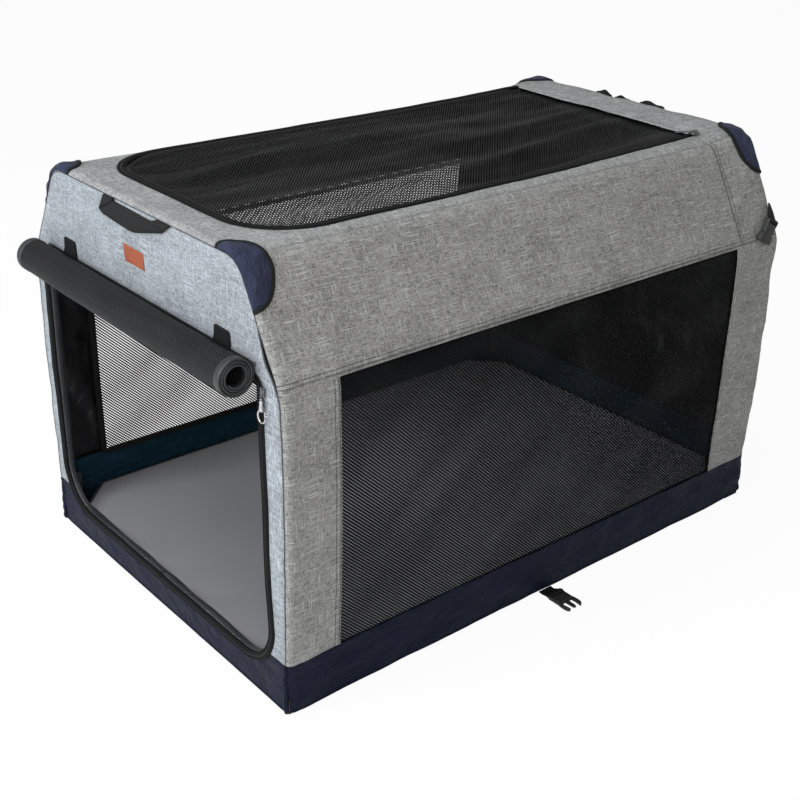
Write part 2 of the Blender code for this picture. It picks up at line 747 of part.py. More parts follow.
def rear_wall():
    origin = (0, ARCH_Y, REAR_HINGE_HEIGHT)
    middle = (0, HALF_LENGTH - CLOTH / 2, 0)
    outline = end_section(FOLD_SEAM_HEIGHT, REAR_HEADER_SEAM - SEAM_GAP)
    plate("rear_panel", [outline], CLOTH, FACING_FRONT, middle, "front_cloth", origin)
    outline = end_section(REAR_HEADER_SEAM, ROOF_UNDER - SEAM_GAP)
    plate("rear_header", [outline], CLOTH, FACING_FRONT, middle, "front_cloth")


def door_zip():
    """The zip track round the door: the upper part folds with the arch, the lower stays."""
    middle = (0, -HALF_LENGTH - ZIP_PROUD + ZIP_DEPTH / 2, 0)
    origin = (0, -ARCH_Y, FRONT_HINGE_HEIGHT)
    ring = [door_outline(0), door_outline(DOOR_ZIP_WIDTH)]
    upper = plate("door_zip_upper", ring, ZIP_DEPTH, FACING_FRONT, middle, "black_webbing", origin)
    lower = plate("door_zip_lower", ring, ZIP_DEPTH, FACING_FRONT, middle, "black_webbing")
    near, far = -HALF_LENGTH - 0.05, -HALF_LENGTH + 0.05
    below = box("below_fold", (-1, near, -1), (1, far, FOLD_SEAM_HEIGHT))
    above = box("above_fold", (-1, near, FOLD_SEAM_HEIGHT - SEAM_GAP), (1, far, 1))
    combine(upper, below)
    combine(lower, above)


# The rolled-up door and its ties

def spiral_points():
    """Middle line of the rolled door in the Y-Z plane, from the hole out to the sewn tail."""
    centre = Vector((DOOR_FACE_Y - ROLL_CLOTH / 2 - ROLL_OUTER_RADIUS, DOOR_TOP))
    count = round(ROLL_TURNS * ROLL_POINTS_PER_TURN)
    points = []
    for i in range(count + 1):
        share = i / count
        radius = ROLL_HOLE_RADIUS + (ROLL_OUTER_RADIUS - ROLL_HOLE_RADIUS) * share
        turn = 2 * math.pi * ROLL_TURNS * (share - 1)
        points.append(centre + radius * Vector((math.cos(turn), math.sin(turn))))
    points.append(points[-1] + Vector((0, ROLL_TAIL)))
    return points


def least_gap_to_itself(points):
    """Smallest clear distance between two turns of the sheet, less its thickness."""
    apart = ROLL_POINTS_PER_TURN * 3 // 4
    least = min(
        (points[i] - points[j]).length
        for i in range(len(points))
        for j in range(i + apart, len(points))
    )
    return least - ROLL_CLOTH


def rolled_door():
    points = spiral_points()
    print(f"rolled door: least gap to itself {1000 * least_gap_to_itself(points):.2f} mm")
    rings = []
    for i, point in enumerate(points):
        ahead = points[min(i + 1, len(points) - 1)] - points[max(i - 1, 0)]
        aside = Vector((-ahead.y, ahead.x)).normalized() * (ROLL_CLOTH / 2)
        rings.append((point + aside, point - aside))
    vertices = []
    for x in (ROLL_LEFT_END, ROLL_RIGHT_END):
        vertices += [(x, p.x, p.y) for pair in rings for p in pair]
    far = 2 * len(rings)
    last = far - 2
    faces = []
    for a in range(0, last, 2):
        faces.append((a, a + 1, a + 3, a + 2))
        faces.append((far + a, far + a + 2, far + a + 3, far + a + 1))
        faces.append((a, a + 2, far + a + 2, far + a))
        faces.append((a + 1, far + a + 1, far + a + 3, a + 3))
    faces.append((0, far, far + 1, 1))
    faces.append((last, last + 1, far + last + 1, far + last))
    origin = (0, -ARCH_Y, FRONT_HINGE_HEIGHT)
    smooth(from_faces("rolled_door", vertices, faces, "black_mesh", origin))


def roll_ties():
    origin = (0, -ARCH_Y, FRONT_HINGE_HEIGHT)
    low = DOOR_TOP + ROLL_TAIL + TIE_HEIGHT_OVER_TAIL
    for side, sign in (("right", 1), ("left", -1)):
        x = sign * TIE_X
        outline = rounded_rectangle(x - TIE_WIDTH / 2, low, x + TIE_WIDTH / 2, low + TIE_HEIGHT, 0.003)
        middle = (0, -HALF_LENGTH - SEAM_GAP - CLOTH / 2, 0)
        plate("roll_tie_" + side, [outline], CLOTH, FACING_FRONT, middle, "black_webbing", origin)


# Trim: handles, label, corner patches

def handle(end):
    """A strap sewn in the top seam, hanging down flat, with a slot for the fingers."""
    sign = {"front": -1, "rear": 1}[end]
    y = sign * (HALF_LENGTH + HANDLE_OFF_CLOTH + HANDLE_THICKNESS / 2)
    bottom = HANDLE_TOP - HANDLE_SLOT - HANDLE_BAND
    half = HANDLE_HALF_LENGTH
    tab_out, tab_in = half - 0.010, HANDLE_SLOT_HALF
    edge = [
        (-half + 0.008, bottom),
        (half - 0.008, bottom),
        (half, bottom + HANDLE_BAND * 0.7),
        (tab_out, HANDLE_TOP),
        (tab_in, HANDLE_TOP),
        (tab_in - 0.006, HANDLE_TOP - HANDLE_SLOT),
        (-tab_in + 0.006, HANDLE_TOP - HANDLE_SLOT),
        (-tab_in, HANDLE_TOP),
        (-tab_out, HANDLE_TOP),
        (-half, bottom + HANDLE_BAND * 0.7),
    ]
    origin = (0, y, HANDLE_TOP)
    outline = rounded(edge, 0.003, 3)
    name = end + "_handle"
    plate(name, [outline], HANDLE_THICKNESS, FACING_FRONT, (0, y, 0), "black_webbing", origin)


def label():
    x, z = LABEL_X, ROOF_TOP - LABEL_BELOW_ROOF
    outline = rounded_rectangle(
        x - LABEL_WIDTH / 2, z - LABEL_HEIGHT / 2, x + LABEL_WIDTH / 2, z + LABEL_HEIGHT / 2, 0.002
    )
    middle = (0, -HALF_LENGTH - SEAM_GAP - LABEL_THICKNESS / 2, 0)
    origin = (0, -ARCH_Y, FRONT_HINGE_HEIGHT)
    plate("label_patch", [outline], LABEL_THICKNESS, FACING_FRONT, middle, "label_leather", origin)


def corner_patch(end, side):
    """Half a disc of navy cloth bent over the roof edge, with its straight side in the end seam."""
    y_sign = {"front": -1, "rear": 1}[end]
    x_sign = {"right": 1, "left": -1}[side]
    slope = Vector((math.sin(SHOULDER_SLOPE), -math.cos(SHOULDER_SLOPE)))
    outward = Vector((math.cos(SHOULDER_SLOPE), math.sin(SHOULDER_SLOPE)))
    corner = Vector((shoulder_x(ROOF_TOP), ROOF_TOP))
    strip_in = []
    for lift in (SEAM_GAP, SEAM_GAP + PATCH_THICKNESS):
        ridge = corner + Vector((lift * math.tan((math.pi / 2 - SHOULDER_SLOPE) / 2), lift))
        below = ridge + slope * 2 * PATCH_RADIUS
        strip_in.append([Vector((ridge.x - 2 * PATCH_RADIUS, ridge.y)), ridge, below])
    section = strip_in[0] + strip_in[1][::-1]
    y_end, y_in = y_sign * HALF_LENGTH, y_sign * (HALF_LENGTH - 1.2 * PATCH_RADIUS)
    points = [(x_sign * p.x, y, p.y) for y in (y_end, y_in) for p in section]
    count = len(section)
    faces = [(0, 1, 4, 5), (1, 2, 3, 4), (6, 7, 10, 11), (7, 8, 9, 10)]
    faces += [(i, (i + 1) % count, count + (i + 1) % count, count + i) for i in range(count)]
    name = "corner_patch_" + end + "_" + side
    patch = from_faces(name, points, faces, "navy_cloth")
    centre = corner + slope * PATCH_CENTRE_DOWN_SHOULDER
    through = (outward + Vector((0, 1))).normalized() * PATCH_RADIUS
    start = (x_sign * (centre - through).x, y_end, (centre - through).y)
    stop = (x_sign * (centre + through).x, y_end, (centre + through).y)
    disc = cylinder(name + "_disc", start, stop, PATCH_RADIUS, 32)
    combine(patch, disc, "INTERSECT")


# Zip slider and trigger snap of the door

def door_slider():
    width, thickness, length = SLIDER_SIZE
    x = DOOR_WIDTH / 2 - DOOR_ZIP_WIDTH / 2
    face = DOOR_FACE_Y
    origin = (x, face, DOOR_SLIDER_HEIGHT)
    box(
        "door_zip_slider",
        (x - width / 2, face - thickness, DOOR_SLIDER_HEIGHT - length / 2),
        (x + width / 2, face, DOOR_SLIDER_HEIGHT + length / 2),
        "black_plastic",
        origin,
    )
    top = DOOR_SLIDER_HEIGHT - length / 2 - SNAP_TO_SLIDER
    hook_y = face - SNAP_STEM_FOOT_RADIUS
    swing = (x, hook_y, top - SNAP_STEM_TOP_RADIUS)
    foot = top - SNAP_STEM_LENGTH
    stem = cylinder(
        "snap_hook",
        (x, hook_y, top),
        (x, hook_y, foot),
        SNAP_STEM_TOP_RADIUS,
        12,
        SNAP_STEM_FOOT_RADIUS,
        "chrome",
        swing,
    )
    smooth(stem)
    middle = foot - SNAP_LOOP_HEIGHT / 2 + SNAP_WIRE
    loop = []
    for k in range(21):
        turn = math.radians(75 + 285 * k / 20)
        loop.append(
            (
                x + (SNAP_LOOP_WIDTH / 2 - SNAP_WIRE) * math.cos(turn),
                hook_y,
                middle + (SNAP_LOOP_HEIGHT / 2 - SNAP_WIRE) * math.sin(turn),
            )
        )
    combine(stem, rod("snap_loop", loop, SNAP_WIRE), "UNION")
    gate_x = x + SNAP_LOOP_WIDTH / 2 - SNAP_WIRE
    gate_low = middle + SNAP_WIRE + SEAM_GAP
    gate_high = foot + SNAP_WIRE
    trigger = cylinder(
        "snap_trigger",
        (gate_x, hook_y, gate_low),
        (gate_x, hook_y, gate_high),
        TRIGGER_RADIUS,
        10,
        finish="chrome",
        origin=(gate_x, hook_y, gate_low),
    )
    thumb = box(
        "snap_thumb",
        (gate_x - TRIGGER_RADIUS / 2, hook_y - TRIGGER_RADIUS, gate_high - 0.004),
        (gate_x + 0.005, hook_y + TRIGGER_RADIUS, gate_high - 0.0015),
    )
    combine(trigger, thumb, "UNION")


# Buckles that close the folded pack

def female_buckle(side):
    """Socket half of a buckle outside the side wall, on a webbing tab from the rear corner seam."""
    sign = {"right": 1, "left": -1}[side]
    half = BUCKLE_WIDTH / 2
    top = BUCKLE_LENGTH / 2
    waist = half * 0.74
    near = HALF_WIDTH + 2 * SEAM_GAP
    lean = Matrix.Rotation(FEMALE_LEAN, 2)

    def placed(across, up):
        return Vector(FEMALE_CENTRE) + Vector((across, up)) @ lean

    profile = [
        (half, -top),
        (half, -top * 0.56),
        (waist, -top * 0.16),
        (waist, top * 0.32),
        (half * 0.9, top),
    ]
    edge = profile + [(-across, up) for across, up in reversed(profile)]
    edge = rounded([placed(across, up) for across, up in edge], 0.002, 3)
    bar = placed(0, top + SEAM_GAP / 2)
    swing = (sign * (near + WEBBING_THICKNESS / 2), bar.x, bar.y)
    middle = (sign * (near + BUCKLE_THICKNESS / 2), 0, 0)
    name = "female_buckle_" + side
    body = plate(name, [edge], BUCKLE_THICKNESS, FACING_SIDE, middle, "black_plastic", swing)
    reach = SOCKET_WIDTH / 2
    mouth = [(-reach, -top - 0.001), (reach, -top - 0.001)]
    mouth += [(reach, SOCKET_DEPTH - top), (-reach, SOCKET_DEPTH - top)]
    mouth = [placed(across, up) for across, up in mouth]
    combine(body, plate(name + "_socket", [mouth], SOCKET_HEIGHT, FACING_SIDE, middle))

    seam_height = bar.y + TAB_RISE
    tip = Vector((shoulder_x(seam_height) + CLOTH, HALF_LENGTH + CLOTH / 2, seam_height))
    corners = []
    for across in (-WEBBING_WIDTH / 2, WEBBING_WIDTH / 2):
        end = placed(across, top + WEBBING_THICKNESS)
        corners.append(Vector((near + WEBBING_THICKNESS / 2, end.x, end.y)))
    along = (corners[1] - corners[0]).normalized() * TAB_TIP_WIDTH / 2
    flat = [corners[0], corners[1], tip + along, tip - along]
    lift = (corners[1] - corners[0]).cross(tip - corners[0]).normalized() * WEBBING_THICKNESS / 2
    points = [corner + lift for corner in flat] + [corner - lift for corner in flat]
    points = [(sign * point.x, point.y, point.z) for point in points]
    faces = [(0, 1, 2, 3), (4, 5, 6, 7)] + [(i, (i + 1) % 4, 4 + (i + 1) % 4, 4 + i) for i in range(4)]
    origin = (0, ARCH_Y, REAR_HINGE_HEIGHT)
    from_faces("buckle_tab_" + side, points, faces, "black_webbing", origin)


def male_buckle(side):
    """Plug half on a short webbing strap from under the long bottom edge, lying on the floor."""
    sign = {"right": 1, "left": -1}[side]
    start = HALF_WIDTH + 2 * SEAM_GAP
    low = SEAM_GAP
    strap_end = start + MALE_STRAP
    end = strap_end + MALE_LENGTH
    swing = (sign * (start + WEBBING_THICKNESS / 2), 0, low + WEBBING_THICKNESS / 2)
    half = BUCKLE_WIDTH / 2
    prong = half * 0.34
    guide = half * 0.24
    edge = [
        (strap_end - 0.010, -half * 0.9),
        (strap_end + MALE_LENGTH * 0.36, -half * 0.9),
        (strap_end + MALE_LENGTH * 0.52, -half),
        (end - 0.004, -half * 0.92),
        (end, -half + prong),
        (strap_end + MALE_LENGTH * 0.40, -half + prong),
        (strap_end + MALE_LENGTH * 0.40, -guide),
        (end - 0.003, -guide),
    ]
    outline = edge + [(x, -y) for x, y in reversed(edge)]
    outline = [(sign * x, y) for x, y in outline]
    name = "male_buckle_" + side
    body = plate(
        name,
        [outline if sign > 0 else outline[::-1]],
        MALE_THICKNESS,
        FACING_UP,
        (0, 0, low + MALE_THICKNESS / 2),
        "black_plastic",
        swing,
    )
    low_x, high_x = sorted((sign * start, sign * (strap_end - 0.006)))
    strap = box(
        name + "_strap",
        (low_x, -WEBBING_WIDTH / 2, low),
        (high_x, WEBBING_WIDTH / 2, low + WEBBING_THICKNESS),
    )
    combine(body, strap, "UNION")


def build_crate():
    clear_scene()
    base_frame()
    for end in ("front", "rear"):
        arch(end)
        handle(end)
        for side in ("right", "left"):
            corner_bracket(end, side)
            corner_patch(end, side)
    base_cloth()
    floor_mat()
    for side in ("right", "left"):
        side_wall(side)
        shoulder(side)
        female_buckle(side)
        male_buckle(side)
    roof()
    roof_zip()
    roof_flap()
    roof_zip_slider()
    front_wall()
    rear_wall()
    door_zip()
    rolled_door()
    roll_ties()
    label()
    door_slider()


build_crate()
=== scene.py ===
"""Looks for the folding soft dog crate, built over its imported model.

Metres, +Z up, the door end at -Y, the long side that the photograph shows at +X.
"""

import math

import bmesh
import bpy
import numpy as np
from mathutils import Matrix, Vector, noise
from mathutils.geometry import delaunay_2d_cdt


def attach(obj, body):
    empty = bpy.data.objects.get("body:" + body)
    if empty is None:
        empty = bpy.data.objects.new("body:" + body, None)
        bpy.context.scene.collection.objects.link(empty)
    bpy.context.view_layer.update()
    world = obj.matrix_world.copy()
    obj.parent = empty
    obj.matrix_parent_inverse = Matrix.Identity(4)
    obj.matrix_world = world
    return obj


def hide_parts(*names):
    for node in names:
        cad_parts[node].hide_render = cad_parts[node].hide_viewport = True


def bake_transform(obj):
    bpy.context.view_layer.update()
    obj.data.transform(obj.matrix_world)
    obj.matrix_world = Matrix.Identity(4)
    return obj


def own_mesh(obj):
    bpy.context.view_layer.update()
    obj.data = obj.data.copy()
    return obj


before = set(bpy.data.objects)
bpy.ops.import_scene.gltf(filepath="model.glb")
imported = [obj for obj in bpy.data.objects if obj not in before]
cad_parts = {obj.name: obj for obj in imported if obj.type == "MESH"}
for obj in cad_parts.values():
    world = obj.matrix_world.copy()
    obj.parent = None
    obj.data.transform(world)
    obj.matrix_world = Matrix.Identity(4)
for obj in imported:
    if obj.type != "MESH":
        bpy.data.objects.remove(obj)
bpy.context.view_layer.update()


# Camera, floor and lamps
# The camera stands at the crate's front right corner, a little above the roof, and is turned a degree. The
# floor and the sky are white only to the camera, so their white doesn't light the crate; the sky lights it at
# a lower strength.

CAMERA_TURN = math.radians(49.75)
CAMERA_RISE = math.radians(25.924)
CAMERA_ROLL = math.radians(1.29)
CAMERA_DISTANCE = 1.9885
LOOKED_AT = Vector((0, -0.0264, 0.1977))
LENS = 58.14

back = Vector((
    math.sin(CAMERA_TURN) * math.cos(CAMERA_RISE),
    -math.cos(CAMERA_TURN) * math.cos(CAMERA_RISE),
    math.sin(CAMERA_RISE),
))
level = Vector((math.cos(CAMERA_TURN), math.sin(CAMERA_TURN), 0))
upright = back.cross(level)
right = level * math.cos(CAMERA_ROLL) + upright * math.sin(CAMERA_ROLL)
above = -level * math.sin(CAMERA_ROLL) + upright * math.cos(CAMERA_ROLL)
camera = bpy.data.objects.new("camera", bpy.data.cameras.new("camera"))
camera.data.lens = LENS
camera.data.sensor_width = 36
camera.data.clip_start = 0.01
camera.matrix_world = Matrix.Translation(LOOKED_AT + back * CAMERA_DISTANCE) @ Matrix(
    (right, above, back)
).transposed().to_4x4()
bpy.context.scene.collection.objects.link(camera)
bpy.context.scene.camera = camera
bpy.context.scene.view_settings.view_transform = "Standard"


class Wire:
    """One socket among a material's nodes, so that shader maths reads as plain sums."""

    def __init__(self, tree, socket=None):
        self.tree, self.socket = tree, socket

    def node(self, kind, settings, inputs, output=0):
        """Any other node: its settings go in first, then the values or links of its sockets."""
        made = self.tree.nodes.new(kind)
        for name, value in settings.items():
            setattr(made, name, value)
        for name, value in inputs.items():
            if isinstance(value, Wire):
                self.tree.links.new(value.socket, made.inputs[name])
            else:
                made.inputs[name].default_value = value
        return Wire(self.tree, made.outputs[output])

    def sum(self, operation, first, *others):
        return self.node("ShaderNodeMath", {"operation": operation}, dict(enumerate((first, *others))))

    def __add__(self, other):
        return self.sum("ADD", self, other)

    __radd__ = __add__

    def __sub__(self, other):
        return self.sum("SUBTRACT", self, other)

    def __rsub__(self, other):
        return self.sum("SUBTRACT", other, self)

    def __mul__(self, other):
        return self.sum("MULTIPLY", self, other)

    def __gt__(self, other):
        return self.sum("GREATER_THAN", self, other)

    def wave(self, pitch):
        """A sine of this length in metres, from -1 to 1."""
        return self.sum("SINE", self * (2 * math.pi / pitch))

    def ease(self, low, high):
        """0 up to low, 1 from high, smooth between."""
        inputs = {"Value": self, "From Min": low, "From Max": high}
        return self.node("ShaderNodeMapRange", {"interpolation_type": "SMOOTHSTEP"}, inputs)

    def tint(self, start, end):
        """The colour that goes from start to end as this goes from 0 to 1."""
        inputs = {0: self, 6: (*start, 1), 7: (*end, 1)}
        return self.node("ShaderNodeMix", {"data_type": "RGBA"}, inputs, 2)

    def apart(self):
        """The first two coordinates of a place."""
        outputs = self.node("ShaderNodeSeparateXYZ", {}, {0: self}).socket.node.outputs
        return Wire(self.tree, outputs[0]), Wire(self.tree, outputs[1])

    def into(self, shader, name):
        self.tree.links.new(self.socket, shader.inputs[name])


FLOOR_REACH, FLOOR_DOWN = 30, 0.0008
FLOOR_COLOUR = (0.90, 0.90, 0.90)
FLOOR_GLOW = 0.95
SKY_LIGHT = 0.37
LAMPS = (
    # where it stands, watts, size, colour
    ((-0.4, -3.2, 1.6), 73, 1.6, (0.92, 0.965, 1.0)),
    ((1.9, -1.6, 1.4), 16.5, 1.2, (1.0, 0.98, 0.95)),
    ((0.0, -1.0, 2.8), 31, 1.7, (1.0, 1.0, 1.0)),
)

floor = bpy.data.objects.new("floor", bpy.data.meshes.new("floor"))
corners = [(x * FLOOR_REACH, y * FLOOR_REACH, -FLOOR_DOWN) for x, y in ((-1, -1), (1, -1), (1, 1), (-1, 1))]
floor.data.from_pydata(corners, [], [(0, 1, 2, 3)])
bpy.context.scene.collection.objects.link(floor)
floor_finish = bpy.data.materials.new("studio_floor")
floor_finish.use_nodes = True
floor.data.materials.append(floor_finish)
floor_nodes = Wire(floor_finish.node_tree)
seen = floor_nodes.node("ShaderNodeLightPath", {}, {}, 0)
paint = floor_nodes.node("ShaderNodeBsdfDiffuse", {}, {"Color": (*FLOOR_COLOUR, 1)})
glow = floor_nodes.node("ShaderNodeEmission", {}, {"Color": (1, 1, 1, 1), "Strength": 1.0})
shown = floor_nodes.node("ShaderNodeMixShader", {}, {0: seen * FLOOR_GLOW, 1: paint, 2: glow})
floor_finish.node_tree.nodes.remove(floor_finish.node_tree.nodes["Principled BSDF"])
shown.into(floor_finish.node_tree.nodes["Material Output"], "Surface")

world = bpy.data.worlds.new("studio_sky")
world.use_nodes = True
bpy.context.scene.world = world
sky = Wire(world.node_tree)
rays = sky.node("ShaderNodeLightPath", {}, {}).socket.node.outputs
seen, passed = (Wire(sky.tree, rays[name]) for name in ("Is Camera Ray", "Is Transmission Ray"))
straight = sky.sum("MAXIMUM", seen, passed)
strength = straight * (1 - SKY_LIGHT) + SKY_LIGHT
strength.into(world.node_tree.nodes["Background"], "Strength")
world.node_tree.nodes["Background"].inputs["Color"].default_value = (1, 1, 1, 1)

for number, (place, watts, size, colour) in enumerate(LAMPS):
    lamp = bpy.data.objects.new(f"lamp_{number}", bpy.data.lights.new(f"lamp_{number}", "AREA"))
    lamp.data.energy, lamp.data.size, lamp.data.color = watts, size, colour
    lamp.location = place
    lamp.rotation_euler = (Vector((0, 0, 0.3)) - Vector(place)).to_track_quat("-Z", "Y").to_euler()
    bpy.context.scene.collection.objects.link(lamp)


# Base tubes, arches and their mouldings
# Thin round steel tube with a black powder coat, pushed into moulded black corners. The tubes
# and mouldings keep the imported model's shapes and get their surfaces here.

def new_finish(name, uv=True):
    """A material with its Principled shader, and its coordinates in metres."""
    made = bpy.data.materials.new(name)
    made.use_nodes = True
    tree = made.node_tree
    if uv:
        place = Wire(tree).node("ShaderNodeUVMap", {"uv_map": "pattern"}, {})
    else:
        place = Wire(tree).node("ShaderNodeTexCoord", {}, {}, 3)
    return made, tree.nodes["Principled BSDF"], place


def grain(place, scale, detail, roughness=0.5, stretch=None):
    """Smooth random values from 0 to 1, this many to a metre, drawn out where stretch says."""
    if stretch:
        vector = {0: place, 1: stretch}
        place = place.node("ShaderNodeVectorMath", {"operation": "MULTIPLY"}, vector)
    inputs = {"Vector": place, "Scale": scale, "Detail": detail, "Roughness": roughness}
    return place.node("ShaderNodeTexNoise", {}, inputs)


def surfaced(made, shader, colour, roughness, height, distance, strength):
    """The material with its colour, its roughness and a bump this many metres high."""
    colour.into(shader, "Base Color")
    roughness.into(shader, "Roughness")
    bump = {"Strength": strength, "Distance": distance, "Height": height}
    height.node("ShaderNodeBump", {}, bump).into(shader, "Normal")
    return made


def powder_coat():
    made, shader, place = new_finish("powder_coat", uv=False)
    specks = grain(place, 900, 2)
    smears = grain(place, 14, 3)
    return surfaced(
        made, shader, (smears * 0.5 + specks * 0.5).tint((0.016, 0.016, 0.017), (0.045, 0.045, 0.046)),
        0.34 + smears * 0.22, specks, 0.0002, 0.5,
    )


def moulded_plastic():
    made, shader, place = new_finish("moulded_plastic", uv=False)
    pits = grain(place, 1500, 2)
    clouds = grain(place, 40, 2)
    return surfaced(
        made, shader, (clouds * 0.7 + pits * 0.3).tint((0.010, 0.010, 0.011), (0.026, 0.026, 0.027)),
        0.36 + pits * 0.2 + clouds * 0.08, pits, 0.00012, 0.5,
    )


STEEL, PLASTIC = powder_coat(), moulded_plastic()


def dress(node, finish):
    node.data.materials.clear()
    node.data.materials.append(finish)


for name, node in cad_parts.items():
    if name.startswith(("base_cross", "base_side", "front_leg", "rear_leg", "front_top", "rear_top")):
        dress(node, STEEL)
    if name.startswith(("corner_bracket", "front_elbow", "rear_elbow")):
        dress(node, PLASTIC)


# Floor cloth and navy bands
# A tray of navy coated nylon: the floor and four bands sewn to it, which turn under at the
# bottom and show soft creases. Its inside carries a taller skirt of the same cloth.

HALF_WIDTH, HALF_LENGTH = 0.305, 0.455
SHOULDER, HALF_ROOF, ROOF = 0.448, 0.226, 0.589
BAND_TOP = 0.0763
TURN_UNDER = 0.008
EDGE_ROUND = 0.009
SEAM_IN = 0.006
SECTION = (
    (-HALF_WIDTH, 0.0), (HALF_WIDTH, 0.0), (HALF_WIDTH, SHOULDER), (HALF_ROOF, ROOF),
    (-HALF_ROOF, ROOF), (-HALF_WIDTH, SHOULDER),
)


def unit(value):
    """The value, held between 0 and 1."""
    return max(0.0, min(1.0, value))


def rough(x, y, z):
    return noise.noise(Vector((x, y, z)))


def inset_section(by):
    """The crate's cross section moved in by this much on every side."""
    lines = []
    for (x0, z0), (x1, z1) in zip(SECTION, SECTION[1:] + SECTION[:1]):
        along = Vector((x1 - x0, z1 - z0)).normalized()
        inward = Vector((-along.y, along.x))
        lines.append((Vector((x0, z0)) + inward * by, along))
    corners = []
    for (p, d), (q, e) in zip(lines[-1:] + lines[:-1], lines):
        share = (q - p).cross(e) / d.cross(e)
        corners.append(p + d * share)
    return corners


CORE = inset_section(EDGE_ROUND)
BENDS = ((2, 0.090), (3, 0.045), (4, 0.045), (5, 0.090))
ROUNDS = []
for corner, radius in BENDS:
    before = Vector(SECTION[corner]) - Vector(SECTION[corner - 1])
    after = Vector(SECTION[(corner + 1) % 6]) - Vector(SECTION[corner])
    faces_out = [Vector((along.y, -along.x)).normalized() for along in (before, after)]
    ROUNDS.append((inset_section(radius)[corner], radius - EDGE_ROUND, *faces_out))


def nearest_in_core(x, z):
    here = Vector((x, z))
    for centre, radius, first, last in ROUNDS:
        out = here - centre
        if first.cross(out) > 0 and out.cross(last) > 0 and out.dot(first + last) > 0:
            return centre + out.normalized() * radius if out.length > radius else here
    best, least, inside = here, 1e9, True
    for a, b in zip(CORE, CORE[1:] + CORE[:1]):
        along = b - a
        if along.cross(here - a) < 0:
            inside = False
        share = unit((here - a).dot(along) / along.length_squared)
        spot = a + along * share
        if (spot - here).length < least:
            best, least = spot, (spot - here).length
    return here if inside else best


def set_in(x, z, by):
    """A point of the section's outline on the soft crate, moved in by this much."""
    if z < 2 * EDGE_ROUND:
        return Vector((x * (1 - by / HALF_WIDTH), z))
    core = nearest_in_core(x, z)
    return core + (Vector((x, z)) - core).normalized() * (EDGE_ROUND - by)


def turned_over(x, y, z):
    """Where cloth of the sides and roof lies once it runs past the end and turns over onto it."""
    over = abs(y) - HALF_LENGTH
    if over <= 0:
        return Vector((x, y, z))
    spot = set_in(x, z, over)
    return Vector((spot.x, math.copysign(HALF_LENGTH, y), spot.y))


def drift(at):
    """How far the cloth stands off its true place, the same for both pieces at a seam."""
    slow = noise.noise(at * 6.0) * 0.0015
    fine = noise.noise(at * 21.0 + Vector((3, 1, 7))) * 0.0006
    low = unit((0.105 - at.z) / 0.05) * max(0.15, min(1.0, at.z / 0.025))
    creased = rough(at.x * 20, at.y * 20, at.z * 40) * 0.0034
    creased += rough(at.x * 55, at.y * 55, at.z * 60 + 5) * 0.0010
    creased *= 0.25 if at.y < 0.02 - HALF_LENGTH else 1
    behind = unit((at.y - 0.365) / 0.03) * unit((at.z - 0.12) / 0.1)
    creased_rear = behind * rough(at.x * 22, at.y * 30, at.z * 26) * 0.0030
    from_corner = HALF_LENGTH - abs(at.y) + HALF_WIDTH - abs(at.x)
    puckered = max(0.0, 1 - from_corner / 0.05) * rough(at.x * 50, at.y * 50, at.z * 34) * 0.0016
    taut = 1 - 0.7 * max(0.0, 1 - (HALF_LENGTH - abs(at.y)) / 0.04)
    return taut * (slow + fine) + low * creased + creased_rear + puckered


def slouch(at):
    """How far the soft body leans out of true here: full at the rear, its roof raised there."""
    rear = unit((at.y - 0.10) / 0.355) ** 2
    front = unit((-at.y - 0.20) / 0.255)
    belly = math.sin(math.pi * unit((at.z - 0.06) / 0.44))
    ramp = 0.022 if at.x > 0 and at.y < 0 else 0.125
    aside = unit((abs(at.x) - HALF_WIDTH + ramp) / ramp)
    high = unit((at.z - 0.40) / 0.16)
    lifted = 0.004 * max(0.0, (at.y - 0.30) / 0.155) ** 2 * max(0.0, 1 - at.z / 0.10)
    behind = unit((at.y - 0.385) / 0.05)
    raised = (0.0030 * rear + 0.0045 * behind) * high
    return Vector((math.copysign(0.006 * belly * aside * max(rear, front), at.x), 0, raised + lifted))


def shell(sharp, lift=0.0):
    """Where a point of the straight-edged crate lies on the soft one, lifted off it by lift."""
    sharp = turned_over(*sharp)
    x, z = nearest_in_core(sharp.x, sharp.z)
    y = max(-HALF_LENGTH + EDGE_ROUND, min(HALF_LENGTH - EDGE_ROUND, sharp.y))
    core = Vector((x, y, z))
    out = (sharp - core).normalized()
    place = core + out * (EDGE_ROUND + lift + drift(sharp)) + slouch(sharp)
    place.z = max(place.z, 0.0002)
    return place


def front_spot(x, height, lift=0.0):
    """A point of the end walls' front one, whose cloth strays a little beside the door."""
    free = unit((HALF_WIDTH - SEAM_IN - abs(x)) / 0.016)
    stray = 0.0022 * rough(x * 3, height * 9, 5) * min(1.0, height / 0.2)
    pulled = unit((x - 0.10) / 0.16) * unit(min((height - 0.075) / 0.10, (0.52 - height) / 0.06))
    stray -= pulled * (0.005 + 0.008 * unit((height - 0.10) / 0.3))
    return shell((x + free * stray, -HALF_LENGTH, height), lift)


def spaced(line, step, closed=True):
    """The line with more points along it, no further apart than step."""
    made = []
    ends = line[1:] + line[:1] if closed else line[1:]
    for (x0, y0), (x1, y1) in zip(line, ends):
        count = max(1, math.ceil(math.hypot(x1 - x0, y1 - y0) / step))
        made += [(x0 + (x1 - x0) * k / count, y0 + (y1 - y0) * k / count) for k in range(count)]
    return made if closed else made + [line[-1]]


def add_object(name, mesh):
    obj = bpy.data.objects.new(name, mesh)
    bpy.context.scene.collection.objects.link(obj)
    return obj


def apply_modifiers(obj):
    bpy.context.view_layer.update()
    mesh = bpy.data.meshes.new_from_object(obj.evaluated_get(bpy.context.evaluated_depsgraph_get()))
    obj.modifiers.clear()
    obj.data = mesh
    return obj


